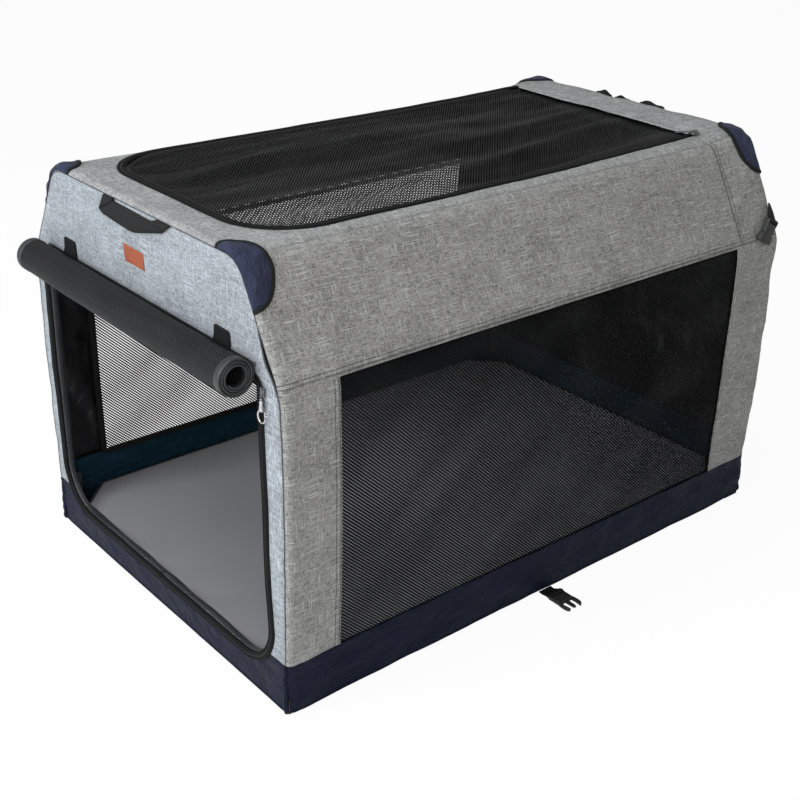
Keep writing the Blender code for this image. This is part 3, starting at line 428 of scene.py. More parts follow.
def patterned(name, spots, faces, flat, *finishes):
    """A smooth object that keeps its flat pattern, in metres, as its UV map."""
    mesh = bpy.data.meshes.new(name)
    mesh.from_pydata(spots, [], faces)
    pattern = mesh.uv_layers.new(name="pattern")
    for loop in mesh.loops:
        pattern.data[loop.index].uv = flat[loop.vertex_index]
    mesh.shade_smooth()
    for finish in finishes:
        mesh.materials.append(finish)
    return add_object(name, mesh)


def thickened(obj, thickness, offset=0):
    """The object with cloth's thickness, its last finish on the inner face."""
    thick = obj.modifiers.new("cloth", "SOLIDIFY")
    thick.thickness, thick.offset = thickness, offset
    thick.material_offset = len(obj.data.materials) - 1
    return apply_modifiers(obj)


def lattice(rows, width, closed=False):
    """Faces between rows of points, each row this many points wide."""
    faces = []
    for i in range(rows if closed else rows - 1):
        a, b = i * width, (i + 1) % rows * width
        faces += [(a + k, a + k + 1, b + k + 1, b + k) for k in range(width - 1)]
    return faces


def oblong(x0, y0, x1, y1):
    return [(x0, y0), (x1, y0), (x1, y1), (x0, y1)]


def triangulate(edge, holes, step):
    """Points and triangles of a flat piece, with points all over it so that it can be bent."""
    rings = [spaced(list(ring), step) for ring in (edge, *holes)]
    border = np.array([p for ring in rings for p in ring])
    low, high = border.min(axis=0), border.max(axis=0)
    rows = []
    for j, y in enumerate(np.arange(low[1] + step / 2, high[1], step * 0.87)):
        start = low[0] + step * (0.25 if j % 2 else 0.75)
        rows += [(x, y) for x in np.arange(start, high[0], step)]
    inner = np.array(rows).reshape(-1, 2)
    if len(inner):
        far = np.concatenate([
            np.sqrt(((part[:, None] - border[None]) ** 2).sum(axis=2)).min(axis=1) > step * 0.5
            for part in np.array_split(inner, max(1, len(inner) // 500))
        ])
        inner = inner[far]
    faces, count = [], 0
    for ring in rings:
        faces.append(list(range(count, count + len(ring))))
        count += len(ring)
    points = [Vector(p) for p in border] + [Vector(p) for p in inner]
    places, _, triangles, *_ = delaunay_2d_cdt(points, [], faces, 2, 1e-7)
    return [tuple(p) for p in places], [tuple(t) for t in triangles]


def cut_sheet(name, edge, place, finishes, step, outward, thickness=0.0012, holes=()):
    """Cloth cut to edge on its flat pattern, in metres, then put in place by place(u, v)."""
    flat, triangles = triangulate(edge, holes, step)
    sheet = patterned(name, [place(u, v) for u, v in flat], triangles, flat, *finishes)
    facing = sum((p.normal * p.area for p in sheet.data.polygons), Vector())
    if facing.dot(Vector(outward)) < 0:
        sheet.data.flip_normals()
    return thickened(sheet, thickness, -1)


def sewn_strip(name, line, place, section, finish, closed=False, step=0.005):
    """A narrow strip swept along a line of the flat pattern.

    section lists (across, lift) in metres, and place(u, v, lift) puts a point on the crate.
    """
    points = spaced(line, step, closed)
    count = len(points)
    spots, flat, run = [], [], 0.0
    for i, here in enumerate(points):
        if closed:
            before, after = points[i - 1], points[(i + 1) % count]
        else:
            before, after = points[max(i - 1, 0)], points[min(i + 1, count - 1)]
        along = (Vector(after) - Vector(before)).normalized()
        aside = Vector((along.y, -along.x))
        if i:
            run += (Vector(here) - Vector(points[i - 1])).length
        for across, lift in section:
            spot = Vector(here) + aside * across
            spots.append(place(spot.x, spot.y, lift))
            flat.append((run, across))
    return patterned(name, spots, lattice(count, len(section), closed), flat, finish)


def coated_nylon(name, dark, pale):
    """Navy nylon: faint plain weave, soft sheen, and creases that are bumped and also lighter and darker in
    the colour as painted sheen and shade.
    """
    made, shader, place = new_finish(name)
    creases_and_sheen = grain(place, 30, 4, 0.6, (1.0, 1.6, 1.0))
    clouds = grain(place, 9, 2)
    across, along = place.apart()
    weave = across.wave(0.0011) * along.wave(0.0011)
    shader.inputs["Specular IOR Level"].default_value = 0.13
    # The creases' light and shade are painted into the colour as well as bumped.
    return surfaced(
        made, shader, (creases_and_sheen * 0.8 + clouds * 0.4 - 0.1 + weave * 0.06).tint(dark, pale),
        0.30 + clouds * 0.2, creases_and_sheen + weave * 0.012, 0.032, 1.0,
    )


def lining_cloth():
    """Black polyester lining with a slight gloss, seen only from inside."""
    made, shader, place = new_finish("black_lining")
    clouds = grain(place, 25, 3)
    folds = grain(place, 1.0, 2, 0.5, (11, 5, 1))
    shader.inputs["Specular IOR Level"].default_value = 0.35
    return surfaced(
        made, shader, clouds.tint((0.003, 0.003, 0.004), (0.008, 0.008, 0.009)),
        0.24 + clouds * 0.2, clouds * 0.15 + folds, 0.045, 1.0,
    )


NAVY = coated_nylon("navy_nylon", (0.0032, 0.0055, 0.017), (0.0135, 0.0200, 0.0560))
# A brighter, greener copy of the navy nylon for the faces inside the crate: painted light on the same cloth.
NAVY_INSIDE_LIT = coated_nylon("navy_nylon_inside_lit", (0.006, 0.024, 0.042), (0.020, 0.075, 0.120))
LINING = lining_cloth()
SIDES = (("right", 1), ("left", -1))
ENDS = (("front", -1), ("rear", 1))

DOOR_HALF, DOOR_FOOT, DOOR_TOP = 0.281, 0.0423, 0.4557
DOOR_FOOT_ROUND, DOOR_TOP_ROUND = 0.075, 0.016


def arc(centre, radius, start, end, steps=14):
    turns = [math.radians(start + (end - start) * k / steps) for k in range(steps + 1)]
    return [(centre[0] + radius * math.cos(t), centre[1] + radius * math.sin(t)) for t in turns]


def door_line(inset):
    """The door's edge, or a line inside it, from the middle of the foot round by the right."""
    half, foot, top = DOOR_HALF - inset, DOOR_FOOT + inset, DOOR_TOP - inset
    low, high = DOOR_FOOT_ROUND - inset, DOOR_TOP_ROUND - inset
    line = [(0, foot)]
    line += arc((half - low, foot + low), low, -90, 0)
    line += arc((half - high, top - high), high, 0, 90, 6)
    line += arc((-half + high, top - high), high, 90, 180, 6)
    line += arc((-half + low, foot + low), low, 180, 270)
    return line


def band_below_door():
    """Edge of the front band: the door dips into it."""
    dip = [p for p in spaced(door_line(-0.0003), 0.004) if p[1] < BAND_TOP]
    dip = sorted(dip, reverse=True)
    return [
        (-END_HALF, -TURN_UNDER), (END_HALF, -TURN_UNDER), (END_HALF, BAND_TOP),
        (dip[0][0] + 0.0006, BAND_TOP), *dip, (dip[-1][0] - 0.0006, BAND_TOP), (-END_HALF, BAND_TOP),
    ]


def squash_down(piece, side=0.0):
    """Gives the piece its own copy of its mesh; side is not used."""
    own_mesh(piece)


END_HALF = HALF_WIDTH - SEAM_IN
SIDE_END = HALF_LENGTH + SEAM_IN
RIDGE = ((-0.0016, 0.0), (-0.0010, 0.0011), (0.0, 0.0015), (0.0010, 0.0011), (0.0016, 0.0))
RIDGE_HEIGHT = 0.0042
SKIRT_FOOT, SKIRT_LEAN = 0.040, 0.03
SKIRT_TOPS = {"left": 0.097, "right": 0.075, "rear": 0.099}
DIP_AREA = 0.0185


def inner_skirt(where, half, place, outward):
    """The navy strip inside a band, which stands up to the window or the rear wall's foot."""
    top = SKIRT_TOPS[where]
    edge = oblong(-half, SKIRT_FOOT, half, top)
    inner = cut_sheet("inner_skirt_" + where, edge, place, [NAVY_INSIDE_LIT, NAVY], 0.012, outward)
    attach(inner, "base")
    squash_down(inner)


for side, sign in SIDES:
    def beside(y, height, lift=0.0, sign=sign):
        if height < 0:
            return shell((sign * (HALF_WIDTH + height), y, 0), lift)
        return shell((sign * HALF_WIDTH, y, height), lift)

    edge = oblong(-SIDE_END, -TURN_UNDER, SIDE_END, BAND_TOP)
    band = cut_sheet("navy_band_" + side, edge, beside, [NAVY, NAVY_INSIDE_LIT], 0.007, (sign, 0, 0))
    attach(band, "base")
    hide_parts("band_" + side)

    line = [(-HALF_LENGTH, RIDGE_HEIGHT), (HALF_LENGTH, RIDGE_HEIGHT)]
    ridge = sewn_strip("band_ridge_" + side, line, beside, RIDGE, NAVY, step=0.008)
    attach(ridge, "base")

    def skirt(y, height, sign=sign):
        sway = 0.0025 * rough(sign * 3, y * 9, height * 12)
        out = HALF_WIDTH - 0.0050 + sway - (SKIRT_TOPS["left"] - height) * SKIRT_LEAN
        return Vector((sign * out, y, height))

    inner_skirt(side, 0.444, skirt, (-sign, 0, 0))


def rear_skirt(x, height):
    sway = 0.0025 * rough(x * 9, 3, height * 12)
    return Vector((x, HALF_LENGTH - 0.0055 + sway - (SKIRT_TOPS["rear"] - height) * SKIRT_LEAN, height))


inner_skirt("rear", 0.292, rear_skirt, (0, -1, 0))

GATHER = (
    (-0.0048, -0.0006), (-0.0036, 0.0010), (-0.0016, 0.0016), (-0.0004, 0.0004), (0.0008, 0.0014),
    (0.0024, 0.0004), (0.0036, -0.0040),
)

for end, sign in ENDS:
    def across_end(x, height, lift=0.0, sign=sign):
        if height < 0:
            return shell((x, sign * (HALF_LENGTH + height), 0), lift)
        return front_spot(x, height, lift) if sign < 0 else shell((x, HALF_LENGTH, height), lift)

    edge = band_below_door() if end == "front" else oblong(-END_HALF, -TURN_UNDER, END_HALF, BAND_TOP)
    band = cut_sheet("navy_band_" + end, edge, across_end, [NAVY, NAVY_INSIDE_LIT], 0.007, (0, sign, 0))
    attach(band, "base")
    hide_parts("band_" + end)
    flat = (2 * END_HALF, BAND_TOP + TURN_UNDER)
    area = flat[0] * flat[1] - (DIP_AREA if end == "front" else 0)

    line = [(-END_HALF, RIDGE_HEIGHT), (END_HALF, RIDGE_HEIGHT)]
    ridge = sewn_strip("band_ridge_" + end, line, across_end, RIDGE, NAVY, step=0.008)
    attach(ridge, "base")

    # The corner is gathered into its seam, and stands clear of the moulded bracket at its foot.
    for side, hand in SIDES:
        def gathered(x, height, lift, sign=sign, hand=hand):
            lump = 0.5 + rough(hand * 3 + x * 150, sign * 5, height * 95)
            spot = shell((x, sign * HALF_LENGTH, height), lift * (0.6 + lump))
            clear = 0.0018 * unit((0.036 - height) / 0.012)
            sway = 0.0012 * rough(x * 90, sign, height * 70)
            return spot + Vector((hand * clear + sway, sign * 0.6 * clear, 0))

        run = [(hand * END_HALF, 0.0012), (hand * END_HALF, BAND_TOP - 0.0015)]
        line = run if hand * sign < 0 else run[::-1]
        corner = sewn_strip(f"corner_seam_{end}_{side}", line, gathered, GATHER, NAVY, step=0.003)
        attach(corner, "base")

FLOOR_X, FLOOR_Y, FLOOR_Z = 0.300, 0.450, 0.0019
floor_cloth = cut_sheet(
    "floor_cloth", oblong(-FLOOR_X, -FLOOR_Y, FLOOR_X, FLOOR_Y), lambda x, y: Vector((x, y, FLOOR_Z)),
    [NAVY_INSIDE_LIT, NAVY], 0.03, (0, 0, 1),
)
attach(floor_cloth, "base")
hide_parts("floor_panel")


# Floor mat
# A flat pad of foam in matt grey cloth, with a bound edge that waves a little along the door.

MAT_TOP, MAT_FOOT = 0.0488, 0.0200
MAT_X, MAT_Y, MAT_CUT = 0.2995, 0.4495, 0.056
MAT_ROUND = 0.011


def mat_cloth():
    made, shader, place = new_finish("mat_cloth")
    fuzz = grain(place, 700, 3, 0.6)
    broad = grain(place, 7, 2)
    return surfaced(
        made, shader, (fuzz * 0.5 + broad * 0.5).tint((0.195, 0.193, 0.206), (0.300, 0.297, 0.315)),
        0.80 + fuzz * 0.15, fuzz * 0.4 + broad, 0.0012, 0.5,
    )


def one_grain(name, scale, detail, dark, pale, smooth, rougher, distance, strength, metallic=0.0, uv=True):
    """A finish whose colour, roughness and bump all follow one grain."""
    made, shader, place = new_finish(name, uv)
    fuzz = grain(place, scale, detail)
    shader.inputs["Metallic"].default_value = metallic
    return surfaced(made, shader, fuzz.tint(dark, pale), smooth + fuzz * rougher, fuzz, distance, strength)


def pad(name, edge, foot, top, round_by, finish, step, crown):
    """A stuffed slab: two faces that meet along a rounded edge."""
    flat, triangles = triangulate(edge, [], step)
    border = np.array(spaced(list(edge), step))
    middle, half = (foot + top) / 2, (top - foot) / 2
    spots = np.array(flat)
    depth = np.array([np.hypot(*(border - p).T).min() for p in spots])
    lines = np.array(edge)
    for i in range(len(lines)):
        a, b = lines[i - 1], lines[i]
        t = np.clip(((spots - a) @ (b - a)) / ((b - a) @ (b - a)), 0, 1)
        depth = np.minimum(depth, np.hypot(*(spots - (a + t[:, None] * (b - a))).T))
    share = np.clip(depth / round_by, 0, 1)
    rise = np.sqrt(1 - (1 - share) ** 2)
    count = len(flat)
    vertices = []
    for layer in (1, -1):
        for (x, y), height in zip(flat, rise):
            z = middle + layer * half * height
            if layer > 0:
                z += crown(x, y) * height
            vertices.append((x, y, z))
    faces = list(triangles) + [tuple(count + k for k in reversed(t)) for t in triangles]
    made = patterned(name, vertices, faces, flat + flat, finish)
    work = bmesh.new()
    work.from_mesh(made.data)
    bmesh.ops.remove_doubles(work, verts=work.verts, dist=1e-5)
    work.to_mesh(made.data)
    work.free()
    return made


cut_x, cut_y = MAT_X - MAT_CUT, MAT_Y - MAT_CUT
mat_edge = [
    (-cut_x, -MAT_Y), (cut_x, -MAT_Y), (MAT_X, -cut_y), (MAT_X, cut_y),
    (cut_x, MAT_Y), (-cut_x, MAT_Y), (-MAT_X, cut_y), (-MAT_X, -cut_y),
]


def mat_wave(x, y):
    near_door = max(0.0, 1 - (y + MAT_Y) / 0.05)
    ripple = 0.0016 * near_door * math.sin(x * 55 + 1.5 * math.sin(x * 17))
    return ripple + 0.0007 * rough(x * 9, y * 9, 0)


floor_mat = pad("mat", mat_edge, MAT_FOOT, MAT_TOP, MAT_ROUND, mat_cloth(), 0.008, mat_wave)
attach(floor_mat, "base")
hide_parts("floor_mat")


def mat_rim(x, y, lift):
    return Vector((x, y, (MAT_TOP + MAT_FOOT) / 2 + lift + mat_wave(x, y) * (lift > 0.004)))


rim = []
for inward in (0.010, 0.008, 0.0055, 0.0035, 0.0018, 0.0006, 0.0):
    share = inward / MAT_ROUND
    rim.append((0.0008 - inward, (MAT_TOP - MAT_FOOT) / 2 * math.sqrt(1 - (1 - share) ** 2) + 0.0009))
rim += [(0.0006, -0.004), (-0.0008, -0.0085), (-0.004, -0.0125)]
MAT_BINDING = one_grain(
    "mat_binding", 600, 2, (0.012, 0.014, 0.022), (0.030, 0.033, 0.045), 0.6, 0.2, 0.0006, 0.6
)
binding = sewn_strip("mat_binding", mat_edge, mat_rim, rim, MAT_BINDING, closed=True, step=0.006)
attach(binding, "base")


# Side walls and shoulders
# Heather polyester that looks like linen, lined in black. One piece to a side runs from the
# navy band up past the window and over the shoulder to the roof seam.

SLOPE = math.hypot(HALF_WIDTH - HALF_ROOF, ROOF - SHOULDER)
WINDOW_FRONT, WINDOW_REAR = -0.374, 0.359
SIDE_TOP = SHOULDER + SLOPE


def heather(name, dark, pale, seams=()):
    """Woven cloth of mixed yarns: crossing streaks of pale and dark thread over a fine weave.

    seams lists stitched lines: 0 for across or 1 for along, the line's place and half width, and
    where it starts and stops on the other coordinate, all in metres.
    """
    made, shader, place = new_finish(name)
    u, v = place.apart()
    warp = grain(place, 1.0, 2, 0.6, (1100, 150, 1))
    weft = grain(place, 1.0, 2, 0.6, (130, 1100, 1))
    slubs = grain(place, 1.0, 0, 0.5, (30, 800, 1)).ease(0.62, 0.72)
    slubs = slubs + grain(place, 1.0, 0, 0.5, (800, 34, 2)).ease(0.64, 0.74) * 0.9
    thin = grain(place, 1.0, 0, 0.5, (48, 700, 3)).ease(0.62, 0.74)
    thin = thin + grain(place, 1.0, 0, 0.5, (700, 55, 4)).ease(0.62, 0.74)
    clouds = grain(place, 16, 4, 0.6)
    yarn = (warp + weft - 1) * 1.9 + slubs * 0.55 - thin * 0.22 + (clouds - 0.5) * 0.55 + 0.44
    groove = None
    for axis, spot, half, start, stop in seams:
        line, other = (v - spot, u) if axis else (u - spot, v)
        near = (1 - line.sum("ABSOLUTE", line).ease(half * 0.35, half)) * (other > start) * (stop - other > 0)
        near = near * (0.85 + other.wave(0.0036) * 0.15)
        groove = near if groove is None else groove.sum("MAXIMUM", groove, near)
    if groove is not None:
        yarn = yarn - groove * 0.55
    clamped = yarn.node("ShaderNodeClamp", {}, {"Value": yarn})
    shader.inputs["Specular IOR Level"].default_value = 0.3
    height = warp + weft + slubs * 0.4
    if groove is not None:
        height = height - groove * 3.0
    return surfaced(
        made, shader, clamped.tint(dark, pale), 0.94 - clamped * 0.12, height, 0.0007, 0.7
    )


SIDE_CLOTH = heather(
    "side_heather", (0.125, 0.125, 0.122), (0.435, 0.435, 0.425),
    [
        (1, SHOULDER + 0.004, 0.0016, -9, 9), (1, SHOULDER + 0.0095, 0.0010, -9, 9),
        (0, 0.3700, 0.0022, SHOULDER + 0.004, 9), (0, 0.3765, 0.0012, SHOULDER + 0.004, 9),
        (0, WINDOW_FRONT - 0.0020, 0.0008, 0, SHOULDER), (0, WINDOW_FRONT - 0.0085, 0.0009, 0, SHOULDER),
        (0, WINDOW_REAR + 0.0020, 0.0008, 0, SHOULDER),
    ],
)


def side_place(sign):
    def place(y, height):
        if height <= SHOULDER:
            return shell((sign * HALF_WIDTH, y, height))
        share = (height - SHOULDER) / SLOPE
        x = sign * (HALF_WIDTH - (HALF_WIDTH - HALF_ROOF) * share)
        return shell((x, y, SHOULDER + (ROOF - SHOULDER) * share))
    return place


for side, sign in SIDES:
    edge = [
        (-SIDE_END, BAND_TOP), (WINDOW_FRONT, BAND_TOP), (WINDOW_FRONT, SHOULDER), (WINDOW_REAR, SHOULDER),
        (WINDOW_REAR, BAND_TOP), (SIDE_END, BAND_TOP), (SIDE_END, SIDE_TOP), (-SIDE_END, SIDE_TOP),
    ]
    wall = cut_sheet("side_wall_" + side, edge, side_place(sign), [SIDE_CLOTH, LINING], 0.007, (sign, 0, 0.3))
    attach(wall, "base")
    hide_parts("side_strip_front_" + side, "side_strip_rear_" + side, "shoulder_" + side)
    height = SIDE_TOP - BAND_TOP
    area = 2 * SIDE_END * height - (WINDOW_REAR - WINDOW_FRONT) * (SHOULDER - BAND_TOP)
    squash_down(wall, sign)


# Side windows
# Black knitted mesh with small staggered holes, stretched in the wall and rippled in broad
# soft folds. A black tape covers its edge on the inside.

MESH_ALONG, MESH_UP, DRAWN_AT = 194, 204, -38


def net_ripple(place, lead=1.0):
    """From -2 in the threads to 2 in the middle of the holes, which stand in staggered rows.

    A lead above 1 draws the holes of one slanting row together.
    """
    u, v = place.apart()
    along, up = u * (2 * math.pi * MESH_ALONG), v * (2 * math.pi * MESH_UP)
    first, second = along + up, along - up
    return first.sum("COSINE", first) * lead + second.sum("COSINE", second) * (2 - lead)


def knit_mesh(name, folds, opening, lead, pale, shiny):
    """Fine mesh: black threads round staggered round holes. Its thread crests carry a painted highlight, and
    broad bands along its folds a painted sheen, both in the colour.
    """
    made, shader, place = new_finish(name)
    ripple = net_ripple(place, lead)
    turn = {"Vector": place, "Angle": math.radians(DRAWN_AT)}
    slanted = place.node("ShaderNodeVectorRotate", {"rotation_type": "Z_AXIS"}, turn)
    drawn = grain(slanted, 1.0, 2, 0.5, (3, 13, 1))
    ripple = ripple - (drawn - 0.5) * 1.1
    holes = ripple.ease(opening, opening + 0.3)
    # crest marks the thread crests: a bump, and in the colour a painted highlight on the black threads
    crest = (0 - ripple).ease(0.3, 1.8)
    # Broad bands along the folds, lighter in the colour as a painted sheen and a little smoother
    painted_fold_sheen = grain(place, 1.0, 2, 0.5, folds).ease(0.42, 0.68)
    (1 - holes).into(shader, "Alpha")
    shader.inputs["Specular IOR Level"].default_value = shiny
    return surfaced(
        made, shader, (crest * 0.4 + painted_fold_sheen * 0.35).tint((0.0008, 0.0008, 0.0009), pale),
        0.62 - painted_fold_sheen * 0.12, crest, 0.0005, 0.7,
    )


# pale is the colour of the painted highlight and sheen on the window mesh
WINDOW_MESH = knit_mesh("window_mesh", (5, 9, 1), 0.44, 1.35, (0.018, 0.018, 0.019), 0.06)


def tape_cloth(name, dark=(0.002, 0.002, 0.0022), pale=(0.010, 0.010, 0.0105), pitch=0.0014):
    """Woven black tape: close ribs across its length."""
    made, shader, place = new_finish(name)
    u, v = place.apart()
    ribs = u.wave(pitch) * 0.5 + v.wave(pitch * 0.7) * 0.3
    fuzz = grain(place, 500, 2)
    shader.inputs["Specular IOR Level"].default_value = 0.25
    return surfaced(
        made, shader, (fuzz * 0.6 + ribs * 0.3 + 0.2).tint(dark, pale),
        0.55 + fuzz * 0.2, ribs + fuzz * 0.5, 0.0005, 0.7,
    )


TAPE = tape_cloth("black_tape")

HEM = (
    (-0.0050, -0.0006), (-0.0044, 0.0004), (-0.002, 0.0008),
    (0.002, 0.0008), (0.0044, 0.0004), (0.0050, -0.0006),
)
NET, HEM_WIDE, HEM_DEEP = 0.0003, 0.012, 0.0085
HEM_FEET = {"left": 0.0970, "right": 0.066}

for side, sign in SIDES:
    def window_place(y, height, sign=sign):
        rim = min(y - WINDOW_FRONT, WINDOW_REAR - y, height - BAND_TOP, SHOULDER - height)
        loose = unit(rim / 0.05)
        slant = (y * 0.62 - height * 0.78) * 7.5
        fold = rough(slant, (y + height) * 1.6, 2.0 + sign)
        small = rough(slant * 2.7, (y + height) * 3, 9.0)
        hollow = 0.0016 + loose * (0.0045 + 0.0080 * fold + 0.0025 * small)
        return shell((sign * HALF_WIDTH, y, height), -hollow)

    low, high = BAND_TOP - 0.004, SHOULDER + 0.003
    start, stop = WINDOW_FRONT - 0.004, WINDOW_REAR + 0.004
    edge = oblong(start, low, stop, high)
    window = cut_sheet("window_" + side, edge, window_place, [WINDOW_MESH], 0.012, (sign, 0, 0), NET)
    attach(window, "base")
    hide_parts("window_mesh_" + side)
    high - low
    squash_down(window, sign)

    def hem_place(y, height, lift, sign=sign):
        return shell((sign * HALF_WIDTH, y, height), -HEM_DEEP - lift)

    left, right, foot, head = start - 0.002, stop + 0.002, HEM_FEET[side], high - 0.004
    line = [(left, head), (left, foot), (right, foot), (right, head)]
    hem = sewn_strip("window_tape_" + side, line[:: int(sign)], hem_place, HEM, TAPE, closed=True, step=0.010)
    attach(hem, "base")
    squash_down(hem, sign)


# Roof with its mesh flap
# A heather panel with a long opening, and over the opening a flap of the same black mesh,
# sewn along the rear edge and zipped on the other three sides.

FLAP_HALF, FLAP_FRONT, FLAP_REAR, FLAP_ROUND = 0.194, -0.397, 0.385, 0.085
ROOF_ZIP = 0.009
ROOF_CLOTH = heather("roof_heather", (0.130, 0.131, 0.132), (0.445, 0.448, 0.450))


def flap_line(grow):
    """The flap's edge, or a line outside it, from the rear right corner round by the rear left."""
    half, front, bend = FLAP_HALF + grow, FLAP_FRONT - grow, FLAP_ROUND + grow
    line = [(half - 0.012, FLAP_REAR - 0.012), (-half, FLAP_REAR)]
    line += arc((-half + bend, front + bend), bend, 180, 270)
    line += arc((half - bend, front + bend), bend, 270, 360)
    return line + [(half, 0.08)]


def roof_place(x, y):
    edge_sag = max(0.0, 1 - abs(x + HALF_ROOF) / 0.12) * math.cos(y / HALF_LENGTH * math.pi / 2) * 0.003
    spot = shell((x, y, ROOF))
    spot.z -= edge_sag
    return spot


roof = cut_sheet(
    "roof", oblong(-HALF_ROOF, -SIDE_END, HALF_ROOF, SIDE_END), roof_place, [ROOF_CLOTH, LINING],
    0.007, (0, 0, 1), holes=[flap_line(ROOF_ZIP - 0.002)],
)
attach(roof, "base")
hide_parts("roof_panel")
squash_down(roof)


def flap_place(x, y):
    rim = min(FLAP_HALF - abs(x), y - FLAP_FRONT, FLAP_REAR - y)
    loose = unit(rim / 0.05)
    crest = 0.5 - abs(rough(x * 9 + 2.2 * y, y * 1.1, 4.0))
    small = 0.5 - abs(rough(x * 24 - y, y * 3.0, 7.0))
    broad = rough(x * 5, y * 3, 1.0)
    dip = 0.0035 * unit((y - FLAP_REAR + 0.035) / 0.02)
    swell = loose * (-0.012 + 0.022 * crest + 0.003 * small + 0.003 * broad)
    return roof_place(x, y) + Vector((0, 0, -0.0008 - dip + swell))


# Roof flap mesh: its lengthwise fold bands and its pale colour are a painted sheen and highlight
FLAP_MESH = knit_mesh("flap_mesh", (22, 2, 1), 0.0, 1.1, (0.060, 0.060, 0.062), 0.2)
flap = cut_sheet("roof_flap_mesh", flap_line(0.001), flap_place, [FLAP_MESH], 0.008, (0, 0, 1), NET)
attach(flap, "roof_flap")
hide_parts("roof_mesh_flap")
squash_down(flap)


def round_flap(grow):
    """The flap's edge as an open line that starts and ends at its rear right corner."""
    line = flap_line(grow)
    return line[1:] + line[:1]


def flap_lift(x, y, lift):
    return flap_place(x, y) + Vector((0, 0, lift + 0.0006))


FLAP_TAPE_WIDE = 0.008
FLAP_TAPE = ((-0.5, -0.0006), (-0.42, 0.0006), (-0.1, 0.0016), (0.2, 0.0010), (0.45, 0.0014), (0.5, -0.0004))
flap_hem = sewn_strip(
    "flap_binding", round_flap(-0.003), flap_lift, [(a * FLAP_TAPE_WIDE, h) for a, h in FLAP_TAPE],
    tape_cloth("flap_tape", (0.004, 0.004, 0.0045), (0.022, 0.022, 0.023)),
)
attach(flap_hem, "roof_flap")
squash_down(flap_hem)


def zip_tape():
    """Black zip: woven tape each side of a shiny coil, the coil and its teeth lighter in the colour as a
    painted sheen.
    """
    made, shader, place = new_finish("zip_tape")
    along, across = place.apart()
    middle = across.sum("ABSOLUTE", across)
    coil_and_sheen = 1 - middle.ease(0.0016, 0.0022)
    teeth = along.wave(0.0018)
    fuzz = grain(place, 600, 2)
    # The coil and its teeth are lighter as a painted sheen.
    colour = fuzz * 0.5 + coil_and_sheen * 0.3 + teeth * coil_and_sheen * 0.2
    shader.inputs["Specular IOR Level"].default_value = 0.16
    return surfaced(
        made, shader, colour.tint((0.0014, 0.0014, 0.0016), (0.009, 0.009, 0.0095)),
        0.58 - coil_and_sheen * 0.25 + fuzz * 0.1, teeth * coil_and_sheen + fuzz * 0.3, 0.0006, 0.8,
    )


ZIP = zip_tape()
ZIP_SECTION = (
    (-0.5, -0.0006), (-0.47, 0.0014), (-0.39, 0.0019), (-0.30, 0.0007), (-0.2, 0.0003), (-0.15, 0.0019),
    (0, 0.0026),
    (0.15, 0.0019), (0.2, 0.0003), (0.30, 0.0007), (0.39, 0.0019), (0.47, 0.0014), (0.5, -0.0006),
)


def roof_lift(x, y, lift):
    return roof_place(x, y) + Vector((0, 0, lift))


section = [(a * (ROOF_ZIP + 0.002), h) for a, h in ZIP_SECTION]
roof_zip = sewn_strip("roof_zip_tape", round_flap(ROOF_ZIP / 2), roof_lift, section, ZIP)
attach(roof_zip, "base")
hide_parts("roof_zip")
squash_down(roof_zip)


# Roof zip's slider
# A small black die-cast slider at the flap's rear right end, with a ribbed pull that lies along
# the zip.

SHARP = math.radians(40)


def slab(outline, low, high, soften=0.0004, steps=2):
    """A flat moulded part on its own u, v and w, cut to an outline, with softened edges."""
    work = bmesh.new()
    base = work.faces.new([work.verts.new((u, v, low)) for u, v in outline])
    lifted = bmesh.ops.extrude_face_region(work, geom=[base])
    for part in lifted["geom"]:
        if isinstance(part, bmesh.types.BMVert):
            part.co.z = high
    bmesh.ops.recalc_face_normals(work, faces=work.faces)
    sharp = [edge for edge in work.edges if edge.calc_face_angle(0) > 0.5]
    bevel = {"segments": steps, "profile": 0.5, "affect": "EDGES", "clamp_overlap": True}
    bmesh.ops.bevel(work, geom=sharp, offset=soften, **bevel)
    bmesh.ops.triangulate(work, faces=[face for face in work.faces if len(face.verts) > 4])
    return work


def wire(path, radii, sides=10, closed=False):
    """A rod bent along a path, its radius given for the whole or point by point."""
    spots = [Vector(p) for p in path]
    if not isinstance(radii, (list, tuple)):
        radii = [radii] * len(spots)
    work = bmesh.new()
    rings, normal = [], None
    for i, here in enumerate(spots):
        before = spots[i - 1] if i or closed else here
        after = spots[(i + 1) % len(spots)] if i + 1 < len(spots) or closed else here
        along = (after - before).normalized()
        if normal is None:
            normal = along.orthogonal().normalized()
        normal = (normal - along * normal.dot(along)).normalized()
        other = along.cross(normal)
        turn = [2 * math.pi * k / sides for k in range(sides)]
        ring = [here + (normal * math.cos(t) + other * math.sin(t)) * radii[i] for t in turn]
        rings.append([work.verts.new(spot) for spot in ring])
    pairs = list(zip(rings, rings[1:])) + ([(rings[-1], rings[0])] if closed else [])
    for ring, following in pairs:
        for k in range(sides):
            work.faces.new((ring[k], ring[(k + 1) % sides], following[(k + 1) % sides], following[k]))
    if not closed:
        work.faces.new(rings[0][::-1])
        work.faces.new(rings[-1])
    return work


def ring_about(centre, wide, tall, steps):
    """Points of an oval link on u and v, at one height w."""
    turns = np.linspace(0, 2 * math.pi, steps + 1)[:-1]
    return [(wide * math.cos(t), centre[0] + tall * math.sin(t), centre[1]) for t in turns]


